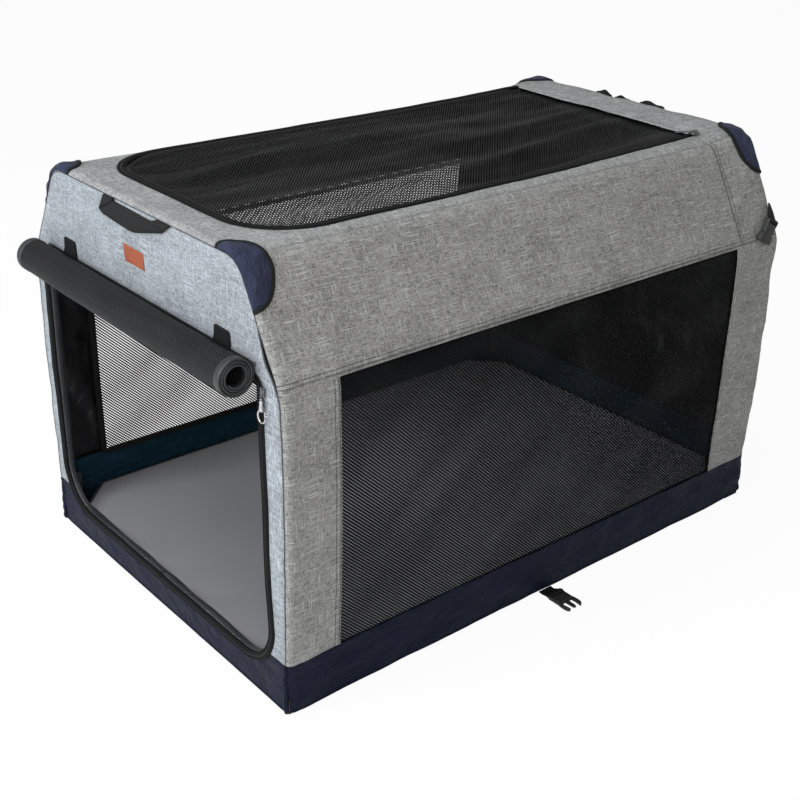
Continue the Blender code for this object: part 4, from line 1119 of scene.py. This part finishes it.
def assembled(name, parts, origin, across, up, out, finish):
    """One object from parts on u, v and w, set at origin with those three directions."""
    frame_of = Matrix((across, up, out)).transposed().to_4x4()
    frame_of.translation = Vector(origin)
    whole = bmesh.new()
    for part in parts:
        piece = bpy.data.meshes.new("part")
        part.to_mesh(piece)
        part.free()
        whole.from_mesh(piece)
        bpy.data.meshes.remove(piece)
    whole.transform(frame_of)
    bmesh.ops.recalc_face_normals(whole, faces=whole.faces)
    mesh = bpy.data.meshes.new(name)
    whole.to_mesh(mesh)
    whole.free()
    mesh.shade_smooth()
    mesh.set_sharp_from_angle(angle=SHARP)
    mesh.materials.append(finish)
    return add_object(name, mesh)


def rounded_box(half_u, half_v, cut):
    """Corners of a rectangle with its corners cut off."""
    return [
        (-half_u + cut, -half_v), (half_u - cut, -half_v), (half_u, -half_v + cut), (half_u, half_v - cut),
        (half_u - cut, half_v), (-half_u + cut, half_v), (-half_u, half_v - cut), (-half_u, -half_v + cut),
    ]


BLACK_METAL = one_grain(
    "black_metal", 900, 3, (0.050, 0.050, 0.051), (0.300, 0.300, 0.305), 0.22, 0.20, 0.0001, 0.4,
    metallic=0.8, uv=False,
)
SLIDER_SHIELD = [
    (-0.0034, -0.0060), (0.0034, -0.0060), (0.0038, 0.0010), (0.0040, 0.0046), (0.0024, 0.0060),
    (0.0006, 0.0052), (-0.0006, 0.0052), (-0.0024, 0.0060), (-0.0040, 0.0046), (-0.0038, 0.0010),
]
BRIDGE = [
    (0, 0.0040, 0.0012), (0, 0.0038, 0.0026), (0, 0.0026, 0.0034), (0, 0.0006, 0.0036), (0, -0.0016, 0.0034),
    (0, -0.0028, 0.0026), (0, -0.0030, 0.0012),
]


def slider_parts():
    """Slider body with its crown; the narrow end points down its own v axis."""
    return [slab(SLIDER_SHIELD, 0.0, 0.0016), wire(BRIDGE, 0.0006, 8)]


def scaled(part, share):
    bmesh.ops.scale(part, vec=(share, share, share), verts=part.verts)
    return part


RIB_FIRST, RIB_STEP = -0.0125, 0.0022
PULL_DOWN, PULL_TURN = -0.0175, Matrix.Rotation(math.radians(-22), 3, "Z")
pull = [slab(rounded_box(0.0022, 0.0150, 0.0012), 0.0032, 0.0044)]
for k in range(5):
    rib = [(u, v + RIB_FIRST + RIB_STEP * k) for u, v in rounded_box(0.0017, 0.0005, 0.0002)]
    pull.append(slab(rib, 0.0043, 0.0049, 0.0001))
pull.append(wire(ring_about((0.0152, 0.0040), 0.0014, 0.0022, 12), 0.0006, 8, closed=True))
for part in pull:
    bmesh.ops.translate(part, verts=part.verts, vec=(0, PULL_DOWN, 0))
    bmesh.ops.rotate(part, verts=part.verts, cent=(0, 0, 0), matrix=PULL_TURN)
SLIDER_SPOT = Vector((FLAP_HALF + ROOF_ZIP / 2 - 0.006, 0.370))
roof_slider = assembled(
    "roof_slider", [scaled(part, 1.35) for part in slider_parts()] + pull,
    (*SLIDER_SPOT, roof_place(*SLIDER_SPOT).z + 0.0030), (1, 0, 0), (0, 1, 0), (0, 0, 1), BLACK_METAL,
)
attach(roof_slider, "roof_slider")
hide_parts("roof_zip_slider")
squash_down(roof_slider)


# Front wall and door zip
# The paler end wall stands on the navy band, cut round the door. A black zip runs all round the door opening,
# with a satin tape behind it that binds the wall's edge.

# A paler, bluer copy of the side heather for the end walls: partly the cloth's own tint, partly painted light
# from the brighter lighting at the front.
END_HEATHER_TINT_AND_LIGHT = heather("end_heather_tint_and_light", (0.150, 0.163, 0.178), (0.470, 0.510, 0.550))


def end_rim(start):
    """The seam round an end wall, from this height on the right over the roof to the left."""
    right = [(HALF_WIDTH, start), (HALF_WIDTH, SHOULDER), (HALF_ROOF, ROOF)]
    sharp = right + [(-x, z) for x, z in right[::-1]]
    return [tuple(set_in(x, z, SEAM_IN)) for x, z in spaced(sharp, 0.006, False)]


FOLD_START, FOLD_END = (0, -HALF_LENGTH, 0.076), (0, -HALF_LENGTH, 0.098)


def end_spot(sign):
    if sign < 0:
        return front_spot
    return lambda x, height, lift=0.0: shell((x, HALF_LENGTH, height), lift)


gap = [p for p in spaced(door_line(0.002), 0.006) if p[1] > BAND_TOP]
first, last = gap[0][0] - 0.0006, gap[-1][0] + 0.0006
wall_edge = [*end_rim(BAND_TOP), (last, BAND_TOP), *gap[::-1], (first, BAND_TOP)][::-1]
front_wall = cut_sheet("front_wall", wall_edge, end_spot(-1), [END_HEATHER_TINT_AND_LIGHT, LINING], 0.007, (0, -1, 0))
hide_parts("front_panel")
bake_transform(front_wall)
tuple(FOLD_START)
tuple(FOLD_END)

DOOR_ZIP = 0.012
section = [(a * DOOR_ZIP, h) for a, h in ZIP_SECTION]
door_zip = sewn_strip("door_zip_tape", door_line(DOOR_ZIP / 2), front_spot, section, ZIP, closed=True)
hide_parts("door_zip_upper", "door_zip_lower")
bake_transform(door_zip)
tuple(FOLD_START)
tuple(FOLD_END)


def satin_tape():
    """Grey satin bias tape, its fine ribs along its length. Its ribs and puckers lighten the colour as a
    painted sheen and painted glints.
    """
    made, shader, place = new_finish("satin_tape")
    ribs = grain(place, 1.0, 2, 0.5, (12, 900, 1))
    puckers_and_glints = grain(place, 1.0, 2, 0.5, (95, 20, 1))
    # The ribs and puckers lighten the grey as a painted sheen and painted glints on the satin.
    return surfaced(
        made, shader, (ribs * 0.7 + puckers_and_glints * 0.5 - 0.1).tint((0.006, 0.0065, 0.0075), (0.080, 0.085, 0.096)),
        0.28 + ribs * 0.25, ribs * 0.1 + puckers_and_glints, 0.0060, 0.9,
    )


FACING = ((0.0012, -0.0022), (0.0004, -0.0020), (-0.0003, -0.0026), (-0.0002, -0.0060), (0.0004, -0.0092))
facing = sewn_strip("door_facing", door_line(DOOR_ZIP), front_spot, FACING, satin_tape(), closed=True)
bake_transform(facing)
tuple(FOLD_START)
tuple(FOLD_END)


def seam_thread():
    made, shader, place = new_finish("seam_thread")
    stitch = place.apart()[0].wave(0.0034)
    fray = grain(place, 300, 2)
    return surfaced(
        made, shader, (stitch * 0.25 + fray * 0.6 + 0.1).tint((0.018, 0.018, 0.020), (0.115, 0.120, 0.130)),
        0.75 + fray * 0.2, stitch * 0.5 + fray, 0.0006, 0.8,
    )


SEAM = seam_thread()
SEAM_SECTION = ((-0.0009, -0.0004), (-0.0004, 0.0004), (0.0, 0.0006), (0.0004, 0.0004), (0.0009, -0.0004))
end_seam = end_rim(BAND_TOP)
front_seam = sewn_strip("front_seam", end_seam, end_spot(-1), SEAM_SECTION, SEAM, step=0.006)
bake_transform(front_seam)
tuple(FOLD_START)
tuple(FOLD_END)


# Rear wall
# Heather outside and black lining inside, in one piece from the band to the roof.

REAR_START, REAR_END = (0, HALF_LENGTH, 0.060), (0, HALF_LENGTH, 0.096)
rear_wall = cut_sheet("rear_wall", end_seam, end_spot(1), [END_HEATHER_TINT_AND_LIGHT, LINING], 0.009, (0, 1, 0))
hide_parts("rear_panel", "rear_header")
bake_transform(rear_wall)
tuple(REAR_START)
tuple(REAR_END)
rear_seam = sewn_strip("rear_seam", end_seam, end_spot(1), SEAM_SECTION, SEAM, step=0.006)
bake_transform(rear_seam)
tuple(REAR_START)
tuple(REAR_END)


# Corner patches
# Half rounds of the navy nylon sewn over the four top corners against wear, with their straight
# side in the end seam and a narrow black binding round the curve.

PATCH_MIDDLE, PATCH_HALF, PATCH_DEPTH, PATCH_AREA = 0.010, 0.056, 0.043, 0.0040
PATCH_STEPS = 30
PATCH_RIM = ((-0.0026, -0.0008), (-0.00234, 0.0008), (0.0, 0.0013), (0.00234, 0.0006), (0.0026, -0.0014))
# A brighter, bluer copy of the navy nylon: the light and sheen on the top corners, painted into the colour.
PATCH_CLOTH_LIT = coated_nylon("patch_nylon_lit", (0.009, 0.012, 0.028), (0.085, 0.100, 0.190))


def patch_curve(grow):
    """The patch's round edge, or a line outside it, as (down the roof's side, in from the end)."""
    line = []
    for k in range(PATCH_STEPS + 1):
        turn = math.pi * k / PATCH_STEPS
        depth = (PATCH_DEPTH + grow) * math.sin(turn) ** 0.8
        line.append((PATCH_MIDDLE + (PATCH_HALF + grow) * math.cos(turn), depth))
    return line


for end, end_sign in ENDS:
    for side, sign in SIDES:
        def patch_place(down, depth, lift=0.0, sign=sign, end_sign=end_sign):
            y = end_sign * (SIDE_END - depth)
            if down < 0:
                spot = (sign * (HALF_ROOF + down), y, ROOF)
            else:
                share = down / SLOPE
                x = sign * (HALF_ROOF + (HALF_WIDTH - HALF_ROOF) * share)
                spot = (x, y, ROOF - (ROOF - SHOULDER) * share)
            rim = max(0.0, 1 - ((down - PATCH_MIDDLE) / PATCH_HALF) ** 2 - (depth / PATCH_DEPTH) ** 2)
            puff = 0.0030 * math.sqrt(rim) + 0.0026 * rough(down * 60, depth * 45, sign + end_sign)
            return shell(spot, 0.0005 + (0.0009 + max(0.0, puff) + lift) * min(1.0, 0.15 + depth / 0.012))

        name = end + "_" + side
        edge = [p for p in patch_curve(0.0) if p[1] > 0.0008]
        edge = [(PATCH_MIDDLE + PATCH_HALF, 0.0008), *edge, (PATCH_MIDDLE - PATCH_HALF, 0.0008)]
        out = (sign * 0.5, 0, 1)
        patch = cut_sheet("patch_" + name, edge, patch_place, [PATCH_CLOTH_LIT], 0.0035, out, 0.0008)
        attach(patch, "base")
        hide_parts("corner_patch_" + name)
        squash_down(patch)

        line = patch_curve(0.0004)
        bound = sewn_strip("patch_binding_" + name, line, patch_place, PATCH_RIM, TAPE, step=0.004)
        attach(bound, "base")
        squash_down(bound)


# Rolled-up door
# The mesh door is rolled from its foot, bound at both sides with smooth tape, and sewn in above
# the opening. Two short webbing ties come out of the wall above it and go behind the roll.

ROLL_LEFT, ROLL_RIGHT = -0.252, 0.255
ROLL_CENTRE = Vector((-0.4818, 0.4588))
ROLL_OUTER, ROLL_HOLE, ROLL_TURNS = 0.0243, 0.0125, 3.4
ROLL_TAIL, POINTS_TO_A_TURN = 0.008, 26
ROLL_SEWN_IN = ((0, 0.5), (0.0008, 1), (0.0014, 1.3))


def rolled_mesh():
    """The same mesh in many layers: fine knots in staggered rows, dark between, the knots lighter in the
    colour as a painted highlight.
    """
    made, shader, place = new_finish("rolled_mesh")
    knots_and_glints = (0 - net_ripple(place)).ease(0.2, 1.7)
    clouds = grain(place, 18, 3)
    streaks = grain(place, 1.0, 2, 0.5, (7, 160, 1))
    # The knots are lightened in the colour as a painted highlight on the black threads.
    colour = knots_and_glints * 0.85 + clouds * 0.3 + streaks * 0.3 - 0.22
    shader.inputs["Specular IOR Level"].default_value = 0.2
    return surfaced(
        made, shader, colour.tint((0.002, 0.002, 0.0023), (0.042, 0.042, 0.047)),
        0.50 + clouds * 0.25, knots_and_glints * 0.4 + streaks, 0.0012, 0.8,
    )


count = round(ROLL_TURNS * POINTS_TO_A_TURN)
spiral = []
for i in range(count + 1):
    share = i / count
    reach = ROLL_HOLE + (ROLL_OUTER - ROLL_HOLE) * share
    angle = 2 * math.pi * ROLL_TURNS * (share - 1)
    spiral.append(ROLL_CENTRE + reach * Vector((math.cos(angle), math.sin(angle))))
spiral += [spiral[-1] + Vector((inward, ROLL_TAIL * up)) for inward, up in ROLL_SEWN_IN]
lengths = [0.0]
for a, b in zip(spiral, spiral[1:]):
    lengths.append(lengths[-1] + (b - a).length)


def roll_spot(x, k):
    """Point k of the spiral at this place along the roll, which is a little uneven."""
    spot = spiral[k]
    if k < count:
        wave = 0.0007 * rough(x * 14, lengths[k] * 5, 0)
        sag = 0.0016 * math.cos(x / 0.26 * math.pi / 2)
        spot = spot + (spot - ROLL_CENTRE).normalized() * wave + Vector((0, -max(sag, 0.0)))
    return Vector((x, spot.x, spot.y))


def wound(name, start, stop, columns, thickness, finish):
    """Cloth along the spiral, between two places along the roll."""
    rows = len(spiral)
    vertices, flat = [], []
    for i in range(columns + 1):
        for k in range(rows):
            x = start + (stop - start) * i / columns
            x += 0.0016 * rough(start, lengths[k] * 9, 3)
            vertices.append(roll_spot(x, k))
            flat.append((x, lengths[k]))
    piece = thickened(patterned(name, vertices, lattice(columns + 1, rows), flat, finish), thickness)
    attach(piece, "front_arch")
    return piece


roll = wound("door_roll", ROLL_LEFT, ROLL_RIGHT, 44, 0.0015, rolled_mesh())
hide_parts("rolled_door")
BINDING = one_grain(
    "smooth_binding", 60, 3, (0.012, 0.012, 0.013), (0.042, 0.043, 0.047), 0.38, 0.2, 0.0006, 0.5
)
BOUND = (("right", ROLL_RIGHT - 0.010, ROLL_RIGHT + 0.0012), ("left", ROLL_LEFT - 0.0012, ROLL_LEFT + 0.010))
for side, start, stop in BOUND:
    bound = wound("roll_binding_" + side, start, stop, 3, 0.0024, BINDING)

TIE_X, TIE_FOOT, TIE_TOPS = 0.188, 0.4670, {"left": 0.4925, "right": 0.4900}
for side, sign in SIDES:
    def tie_place(x, height):
        forward = 0.0008 + 0.0022 * max(0.0, (0.480 - height) / 0.012) ** 1.5
        return Vector((x, -HALF_LENGTH - forward - 0.0008 + 0.0006 * math.sin(x * 90), height))

    x, top = sign * TIE_X, TIE_TOPS[side]
    edge = [
        (x - 0.018, TIE_FOOT), (x + 0.018, TIE_FOOT), (x + 0.0165, top - 0.003), (x + 0.0135, top),
        (x - 0.0135, top), (x - 0.0165, top - 0.002),
    ]
    tie = cut_sheet("tie_" + side, edge, tie_place, [TAPE], 0.004, (0, -1, 0), 0.0013)
    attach(tie, "front_arch")
    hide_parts("roll_tie_" + side)


# Door slider and trigger snap
# A black slider on the door zip. A small bright trigger snap hangs from its crown: an eye, a
# turned barrel, a bent hook, and a sprung trigger with a thumb nub that closes it.

BRIGHT = one_grain(
    "bright_metal", 500, 3, (0.46, 0.46, 0.45), (0.78, 0.78, 0.77), 0.16, 0.22, 0.0001, 0.3,
    metallic=1.0, uv=False,
)
SNAP_X, SNAP_FACE = 0.2705, -0.4566
FRONT_FRAME = ((1, 0, 0), (0, 0, 1), (0, -1, 0))
link = wire(ring_about((-0.0048, 0.0030), 0.0016, 0.0024, 14), 0.00045, 8, closed=True)
door_slider = assembled(
    "door_slider", [*slider_parts(), link], (SNAP_X, SNAP_FACE, 0.439), *FRONT_FRAME, BLACK_METAL
)
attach(door_slider, "door_slider")
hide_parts("door_zip_slider")

# The barrel's rings: radius and v
BARREL = [
    (0.0006, 0.0), (0.0014, -0.0004), (0.0016, -0.0012), (0.0010, -0.0022), (0.0010, -0.0028),
    (0.0021, -0.0034), (0.0023, -0.0050), (0.0020, -0.0062), (0.0020, -0.0090), (0.0025, -0.0112),
    (0.0029, -0.0140), (0.0025, -0.0160),
]
LOOP_LOW, LOOP_WIDE, LOOP_TALL = -0.0233, 0.0070, 0.0075
HOOK_START, HOOK_TURN, HOOK_STEPS = 75, 285, 20
hook, thickness = [], []
for k in range(HOOK_STEPS + 1):
    turn = math.radians(HOOK_START + HOOK_TURN * k / HOOK_STEPS)
    hook.append((LOOP_WIDE * math.cos(turn), LOOP_LOW + LOOP_TALL * math.sin(turn), 0))
    thickness.append(0.0014 - 0.0005 * k / HOOK_STEPS)
turned = wire([(0, v, 0) for _, v in BARREL], [radius for radius, _ in BARREL], 20)
snap_origin = (SNAP_X, SNAP_FACE - 0.003, 0.4322)
snap = assembled("snap_hook_body", [turned, wire(hook, thickness, 12)], snap_origin, *FRONT_FRAME, BRIGHT)
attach(snap, "snap")
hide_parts("snap_hook")

# The sprung lever and its thumb nub: u beyond the loop, v and radius
LEVER = (
    (0, -0.0212, 0.0008), (0.0001, -0.0190, 0.0009), (-0.0002, -0.0170, 0.0009), (-0.0009, -0.0152, 0.0007),
)
NUB = ((0, -0.0176, 0.0006), (0.0022, -0.0178, 0.0007), (0.0040, -0.0180, 0.0011), (0.0050, -0.0180, 0.0008))
rods = [
    wire([(LOOP_WIDE + u, v, 0) for u, v, _ in rod], [radius for *_, radius in rod]) for rod in (LEVER, NUB)
]
trigger = assembled("snap_trigger_lever", rods, snap_origin, *FRONT_FRAME, BRIGHT)
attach(trigger, "snap_gate")
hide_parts("snap_trigger")


# Carry handles and label
# Each handle is black webbing with its two ends folded over and sewn into the top seam, so that
# it hangs flat with a slot for the fingers. The label is a small rust patch, left bare.

WEBBING = tape_cloth("handle_webbing", (0.003, 0.003, 0.0033), (0.012, 0.012, 0.0125), 0.0022)
HANDLE_LINE = [
    (-0.0760, 0.5833), (-0.0505, 0.5833), (-0.0515, 0.5802), (-0.0400, 0.5796), (0.0383, 0.5778),
    (0.0540, 0.5833), (0.0850, 0.5833), (0.0760, 0.5770), (0.0640, 0.5690), (0.0010, 0.5530),
    (-0.0132, 0.5520), (-0.0829, 0.5555), (-0.0925, 0.5600),
]
HANDLE_FOLDS = (
    [(-0.0760, 0.5833), (-0.0505, 0.5833), (-0.0545, 0.5790), (-0.0915, 0.5605)],
    [(0.0850, 0.5833), (0.0560, 0.5833), (0.0395, 0.5765), (0.0690, 0.5722)],
)
HANDLE_SEAM, HANDLE_REACH = 0.5833, 0.085


def hanging(sign, off):
    """A place on the end's webbing, this far off the end wall at the seam and slack below it."""
    def place(x, height):
        middle = math.cos(min(1.0, abs(x) / HANDLE_REACH) * math.pi / 2)
        slack = 0.0016 * middle * (HANDLE_SEAM - height) / 0.03
        spot = Vector((-sign * x, sign * (HALF_LENGTH + off + slack), height))
        return spot + slouch(spot)
    return place


for end, sign in ENDS:
    body, out = "handle_" + end, (0, sign, 0)
    strap = cut_sheet(body + "_strap", HANDLE_LINE, hanging(sign, 0.0022), [WEBBING], 0.006, out, 0.0014)
    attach(strap, body)
    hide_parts(end + "_handle")
    for number, line in enumerate(HANDLE_FOLDS):
        fold = cut_sheet(f"{body}_fold_{number}", line, hanging(sign, 0.0035), [WEBBING], 0.005, out, 0.0010)
        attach(fold, body)
        if end == "rear":
            squash_down(fold)
    if end == "rear":
        squash_down(strap)

# The rear handle's webbing is bunched where it is sewn in, and stands up over the roof's edge.
# Each bunch: where it starts and stops, and how far it rises.
BUNCHES = ((-0.084, -0.046, 0.0078), (-0.041, -0.006, 0.0066), (0.010, 0.066, 0.0074))
BUNCH_FOOT, BUNCH_TALL = 0.5800, 0.016
for number, (start, stop, rise) in enumerate(BUNCHES):
    def bunched(x, height, start=start, stop=stop, rise=rise):
        share, up = (x - start) / (stop - start), height / BUNCH_TALL
        hump = max(0.0, math.sin(math.pi * share)) ** 0.3 * (1 - 0.22 * math.sin(9 * share + number))
        y = HALF_LENGTH + 0.0020 + 0.0022 * math.sin(60 * x) * up
        spot = Vector((x, y, BUNCH_FOOT + up * (0.004 + rise * hump)))
        return spot + slouch(spot)

    edge = oblong(start, 0.0, stop, BUNCH_TALL)
    bunch = cut_sheet(f"handle_rear_bunch_{number}", edge, bunched, [WEBBING], 0.0025, (0, 1, 0), 0.0014)
    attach(bunch, "base")
    squash_down(bunch)


def label_weave():
    """Rust woven patch with a stitched border."""
    made, shader, place = new_finish("label_weave")
    u, v = place.apart()
    weave = u.wave(0.0009) * v.wave(0.0009)
    clouds = grain(place, 90, 3)
    return surfaced(
        made, shader, (clouds * 0.7 + weave * 0.2 + 0.15).tint((0.215, 0.045, 0.018), (0.400, 0.100, 0.042)),
        0.65 + clouds * 0.2, weave * 0.3 + clouds, 0.0004, 0.7,
    )


LABEL_STITCH = one_grain(
    "label_stitch", 700, 2, (0.20, 0.035, 0.015), (0.62, 0.20, 0.10), 0.6, 0.2, 0.0003, 0.6
)
LABEL = [(-0.0365, 0.5292), (0.0125, 0.5285), (0.0150, 0.5062), (-0.0330, 0.5066)]
centre = sum((Vector(p) for p in LABEL), Vector((0, 0))) / 4


def label_place(x, height, lift=0.0):
    return front_spot(x, height, 0.0009 + lift)


def shrunk(line, share):
    return [tuple(centre + (Vector(p) - centre) * share) for p in line]


label = cut_sheet("label", shrunk(LABEL, 1.0), label_place, [label_weave()], 0.004, (0, -1, 0), 0.0007)
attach(label, "front_arch")
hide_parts("label_patch")
row = ((-0.00035, 0.0), (-0.00014, 0.0003), (0.00014, 0.0003), (0.00035, 0.0))
line = shrunk(LABEL, 0.93)
stitched = sewn_strip("label_edge", line, label_place, row, LABEL_STITCH, closed=True, step=0.003)
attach(stitched, "front_arch")


# Side-release buckles
# Moulded black plastic. The socket half hangs from a webbing tab sewn in the rear corner seam;
# the plug half lies on the floor on a strap from under the long side's middle.

BUCKLE = moulded_plastic()
BUCKLE_HALF, BUCKLE_TOP, BUCKLE_DEEP = 0.0155, 0.0175, 0.0086
WAIST = BUCKLE_HALF * 0.74


def carve(body, low, high):
    """Cuts a box-shaped hollow into a moulded part."""
    cutter = bmesh.new()
    middle = [(a + b) / 2 for a, b in zip(low, high)]
    size = [b - a for a, b in zip(low, high)]
    bmesh.ops.create_cube(cutter, size=1.0, matrix=Matrix.Translation(middle) @ Matrix.Diagonal((*size, 1)))
    pair = []
    for name, part in (("body", body), ("cutter", cutter)):
        mesh = bpy.data.meshes.new(name)
        part.to_mesh(mesh)
        part.free()
        pair.append(add_object(name, mesh))
    cut = pair[0].modifiers.new("cut", "BOOLEAN")
    cut.object, cut.operation, cut.solver = pair[1], "DIFFERENCE", "EXACT"
    apply_modifiers(pair[0])
    carved = bmesh.new()
    carved.from_mesh(pair[0].data)
    for obj in pair:
        bpy.data.objects.remove(obj)
    return carved


def strap_along(name, path, across, width, thickness, finish):
    """Webbing along a path, this wide in the direction across."""
    across = Vector(across).normalized() * width / 2
    spots, flat, run = [], [], 0.0
    for i, here in enumerate(path):
        here = Vector(here)
        if i:
            run += (here - Vector(path[i - 1])).length
        for share in (-1, -0.5, 0, 0.5, 1):
            spots.append(here + across * share)
            flat.append((run, share * width / 2))
    return thickened(patterned(name, spots, lattice(len(path), 5), flat, finish), thickness)


LEAN = math.radians(28)
SOCKET_MIDDLE = Vector((0.4165, 0.4660))
across_way = Vector((math.cos(LEAN), -math.sin(LEAN)))
up_way = Vector((math.sin(LEAN), math.cos(LEAN)))
near = HALF_WIDTH + 0.0014
STRAP_TURN = (
    (0.0060, 0.0046), (0.0046, 0.0078), (0.0064, 0.0088),
    (0.0110, 0.0076), (0.0160, 0.0040), (0.0200, 0.0026),
)
PLUG_LONG = 0.032
# Half outlines of the plug's parts on u and v, u as a share of its length
PLUG_BASE = ((0.36, 0.0138), (0.40, 0.0100))
PLUG_PRONG = (
    (0.30, 0.0136), (0.46, 0.0150), (0.70, 0.0154), (0.86, 0.0148), (0.96, 0.0128), (1, 0.0104),
    (0.94, 0.0100), (0.62, 0.0112), (0.40, 0.0102),
)
PLUG_RIB = ((0.50, 0.0138), (0.80, 0.0138), (0.80, 0.0124), (0.50, 0.0126))
PLUG_GUIDE = ((0.34, 0.0036), (0.88, 0.0028), (0.97, 0.0016))

for side, sign in SIDES:
    outline = [
        (BUCKLE_HALF, -BUCKLE_TOP), (BUCKLE_HALF, -0.0105), (BUCKLE_HALF - 0.0012, -0.0075), (WAIST, -0.0028),
        (WAIST, 0.0052), (BUCKLE_HALF - 0.0030, 0.0105), (BUCKLE_HALF - 0.0016, BUCKLE_TOP),
    ]
    outline += [(-u, v) for u, v in reversed(outline)]
    shape = slab(outline, 0.0002, BUCKLE_DEEP, 0.0012, 3)
    shape = carve(shape, (-0.0118, -0.019, 0.0024), (0.0118, -0.002, 0.0066))
    shape = carve(shape, (-0.0105, 0.0112, -0.002), (0.0105, 0.0140, 0.012))
    press = rounded_box(0.0066, 0.0052, 0.0016)
    parts = [shape, slab(press, BUCKLE_DEEP - 0.0005, BUCKLE_DEEP + 0.0005, 0.0004)]
    for v in (-0.0152, -0.0136, -0.0120):
        rib = [(u, w + v) for u, w in rounded_box(0.0120, 0.0004, 0.0002)]
        parts.append(slab(rib, BUCKLE_DEEP - 0.0003, BUCKLE_DEEP + 0.0003, 0.0001))
    origin = (sign * near, *SOCKET_MIDDLE)
    socket = assembled("socket_" + side, parts, origin, (0, *across_way), (0, *up_way), (sign, 0, 0), BUCKLE)
    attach(socket, "female_" + side)
    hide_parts("female_buckle_" + side)

    bar = SOCKET_MIDDLE + up_way * (BUCKLE_TOP - 0.0018)
    wrap = []
    for k in range(9):
        turn = math.radians(-60 + 240 * k / 8)
        spot = bar + up_way * (0.0034 * math.cos(turn))
        wrap.append((sign * (near + BUCKLE_DEEP / 2 + 0.0052 * math.sin(turn)), spot.x, spot.y))
    loop = strap_along("socket_loop_" + side, wrap, (0, *across_way), 0.0195, 0.0012, TAPE)
    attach(loop, "female_" + side)

    foot = SOCKET_MIDDLE + up_way * (BUCKLE_TOP + 0.0022)
    corners = []
    for across in (-0.0125, 0.0125):
        end = foot + across_way * across
        corners.append(Vector((sign * (near + 0.0016), end.x, end.y)))
    tip = Vector((sign * 0.2802, HALF_LENGTH + 0.0008, 0.4938))
    aside = (corners[1] - corners[0]).normalized() * 0.0022
    swell = (corners[1] - corners[0]).cross(tip - corners[0]).normalized() * 0.0016
    if swell.x * sign < 0:
        swell = -swell
    spots, flat = [], []
    for i in range(9):
        along = i / 8
        for j in range(7):
            share = j / 6
            low = corners[0].lerp(corners[1], share)
            top = (tip - aside).lerp(tip + aside, share)
            puff = math.sin(math.pi * along) * (0.4 + 0.6 * math.sin(math.pi * share))
            spots.append(low.lerp(top, along) + swell * puff)
            flat.append((along * 0.036, share * 0.025))
    tab = thickened(patterned("socket_tab_" + side, spots, lattice(9, 7), flat, TAPE), 0.0013)
    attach(tab, "rear_arch")
    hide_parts("buckle_tab_" + side)

    # The strap comes from under the band, ripples on the floor and doubles back round the plug's bar.
    strap_end, low = near + 0.028, 0.0003
    ripples = [(near + 0.004 + 0.0026 * k, 0.0010 + 0.0005 * (1 - math.cos(k))) for k in range(1, 7)]
    path = [(near - 0.0022, 0.0016), (near + 0.004, 0.0009), *ripples]
    path += [(strap_end - inward, rise) for inward, rise in STRAP_TURN]
    path = [(sign * out, 0, low + rise) for out, rise in path]
    strap = strap_along("plug_strap_" + side, path, (0, 1, 0), 0.0240, 0.0013, TAPE)
    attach(strap, "male_" + side)

    def both(half):
        line = [(PLUG_LONG * u, v) for u, v in half]
        return [(u, -v) for u, v in line] + line[::-1]

    base = [(-0.0098, -0.0138), *both(PLUG_BASE), (-0.0098, 0.0138)]
    ladder = slab(base, 0.0004, 0.0066, 0.0010, 3)
    ladder = carve(ladder, (-0.0064, -0.0118, -0.002), (-0.0030, 0.0118, 0.012))
    parts = [carve(ladder, (0.0008, -0.0100, 0.0052), (0.0090, 0.0100, 0.012))]
    for lean in (1, -1):
        prong, rib = ([(PLUG_LONG * u, lean * v) for u, v in line][::lean] for line in (PLUG_PRONG, PLUG_RIB))
        parts += [slab(prong, 0.0008, 0.0062, 0.0009, 3), slab(rib, 0.0058, 0.0068, 0.0003)]
    parts.append(slab(both(PLUG_GUIDE), 0.0022, 0.0050, 0.0007, 3))
    lying = ((sign, 0, 0), (0, 1, 0), (0, 0, 1))
    plug = assembled("plug_" + side, parts, (sign * strap_end, 0, low), *lying, BUCKLE)
    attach(plug, "male_" + side)
    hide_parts("male_buckle_" + side)
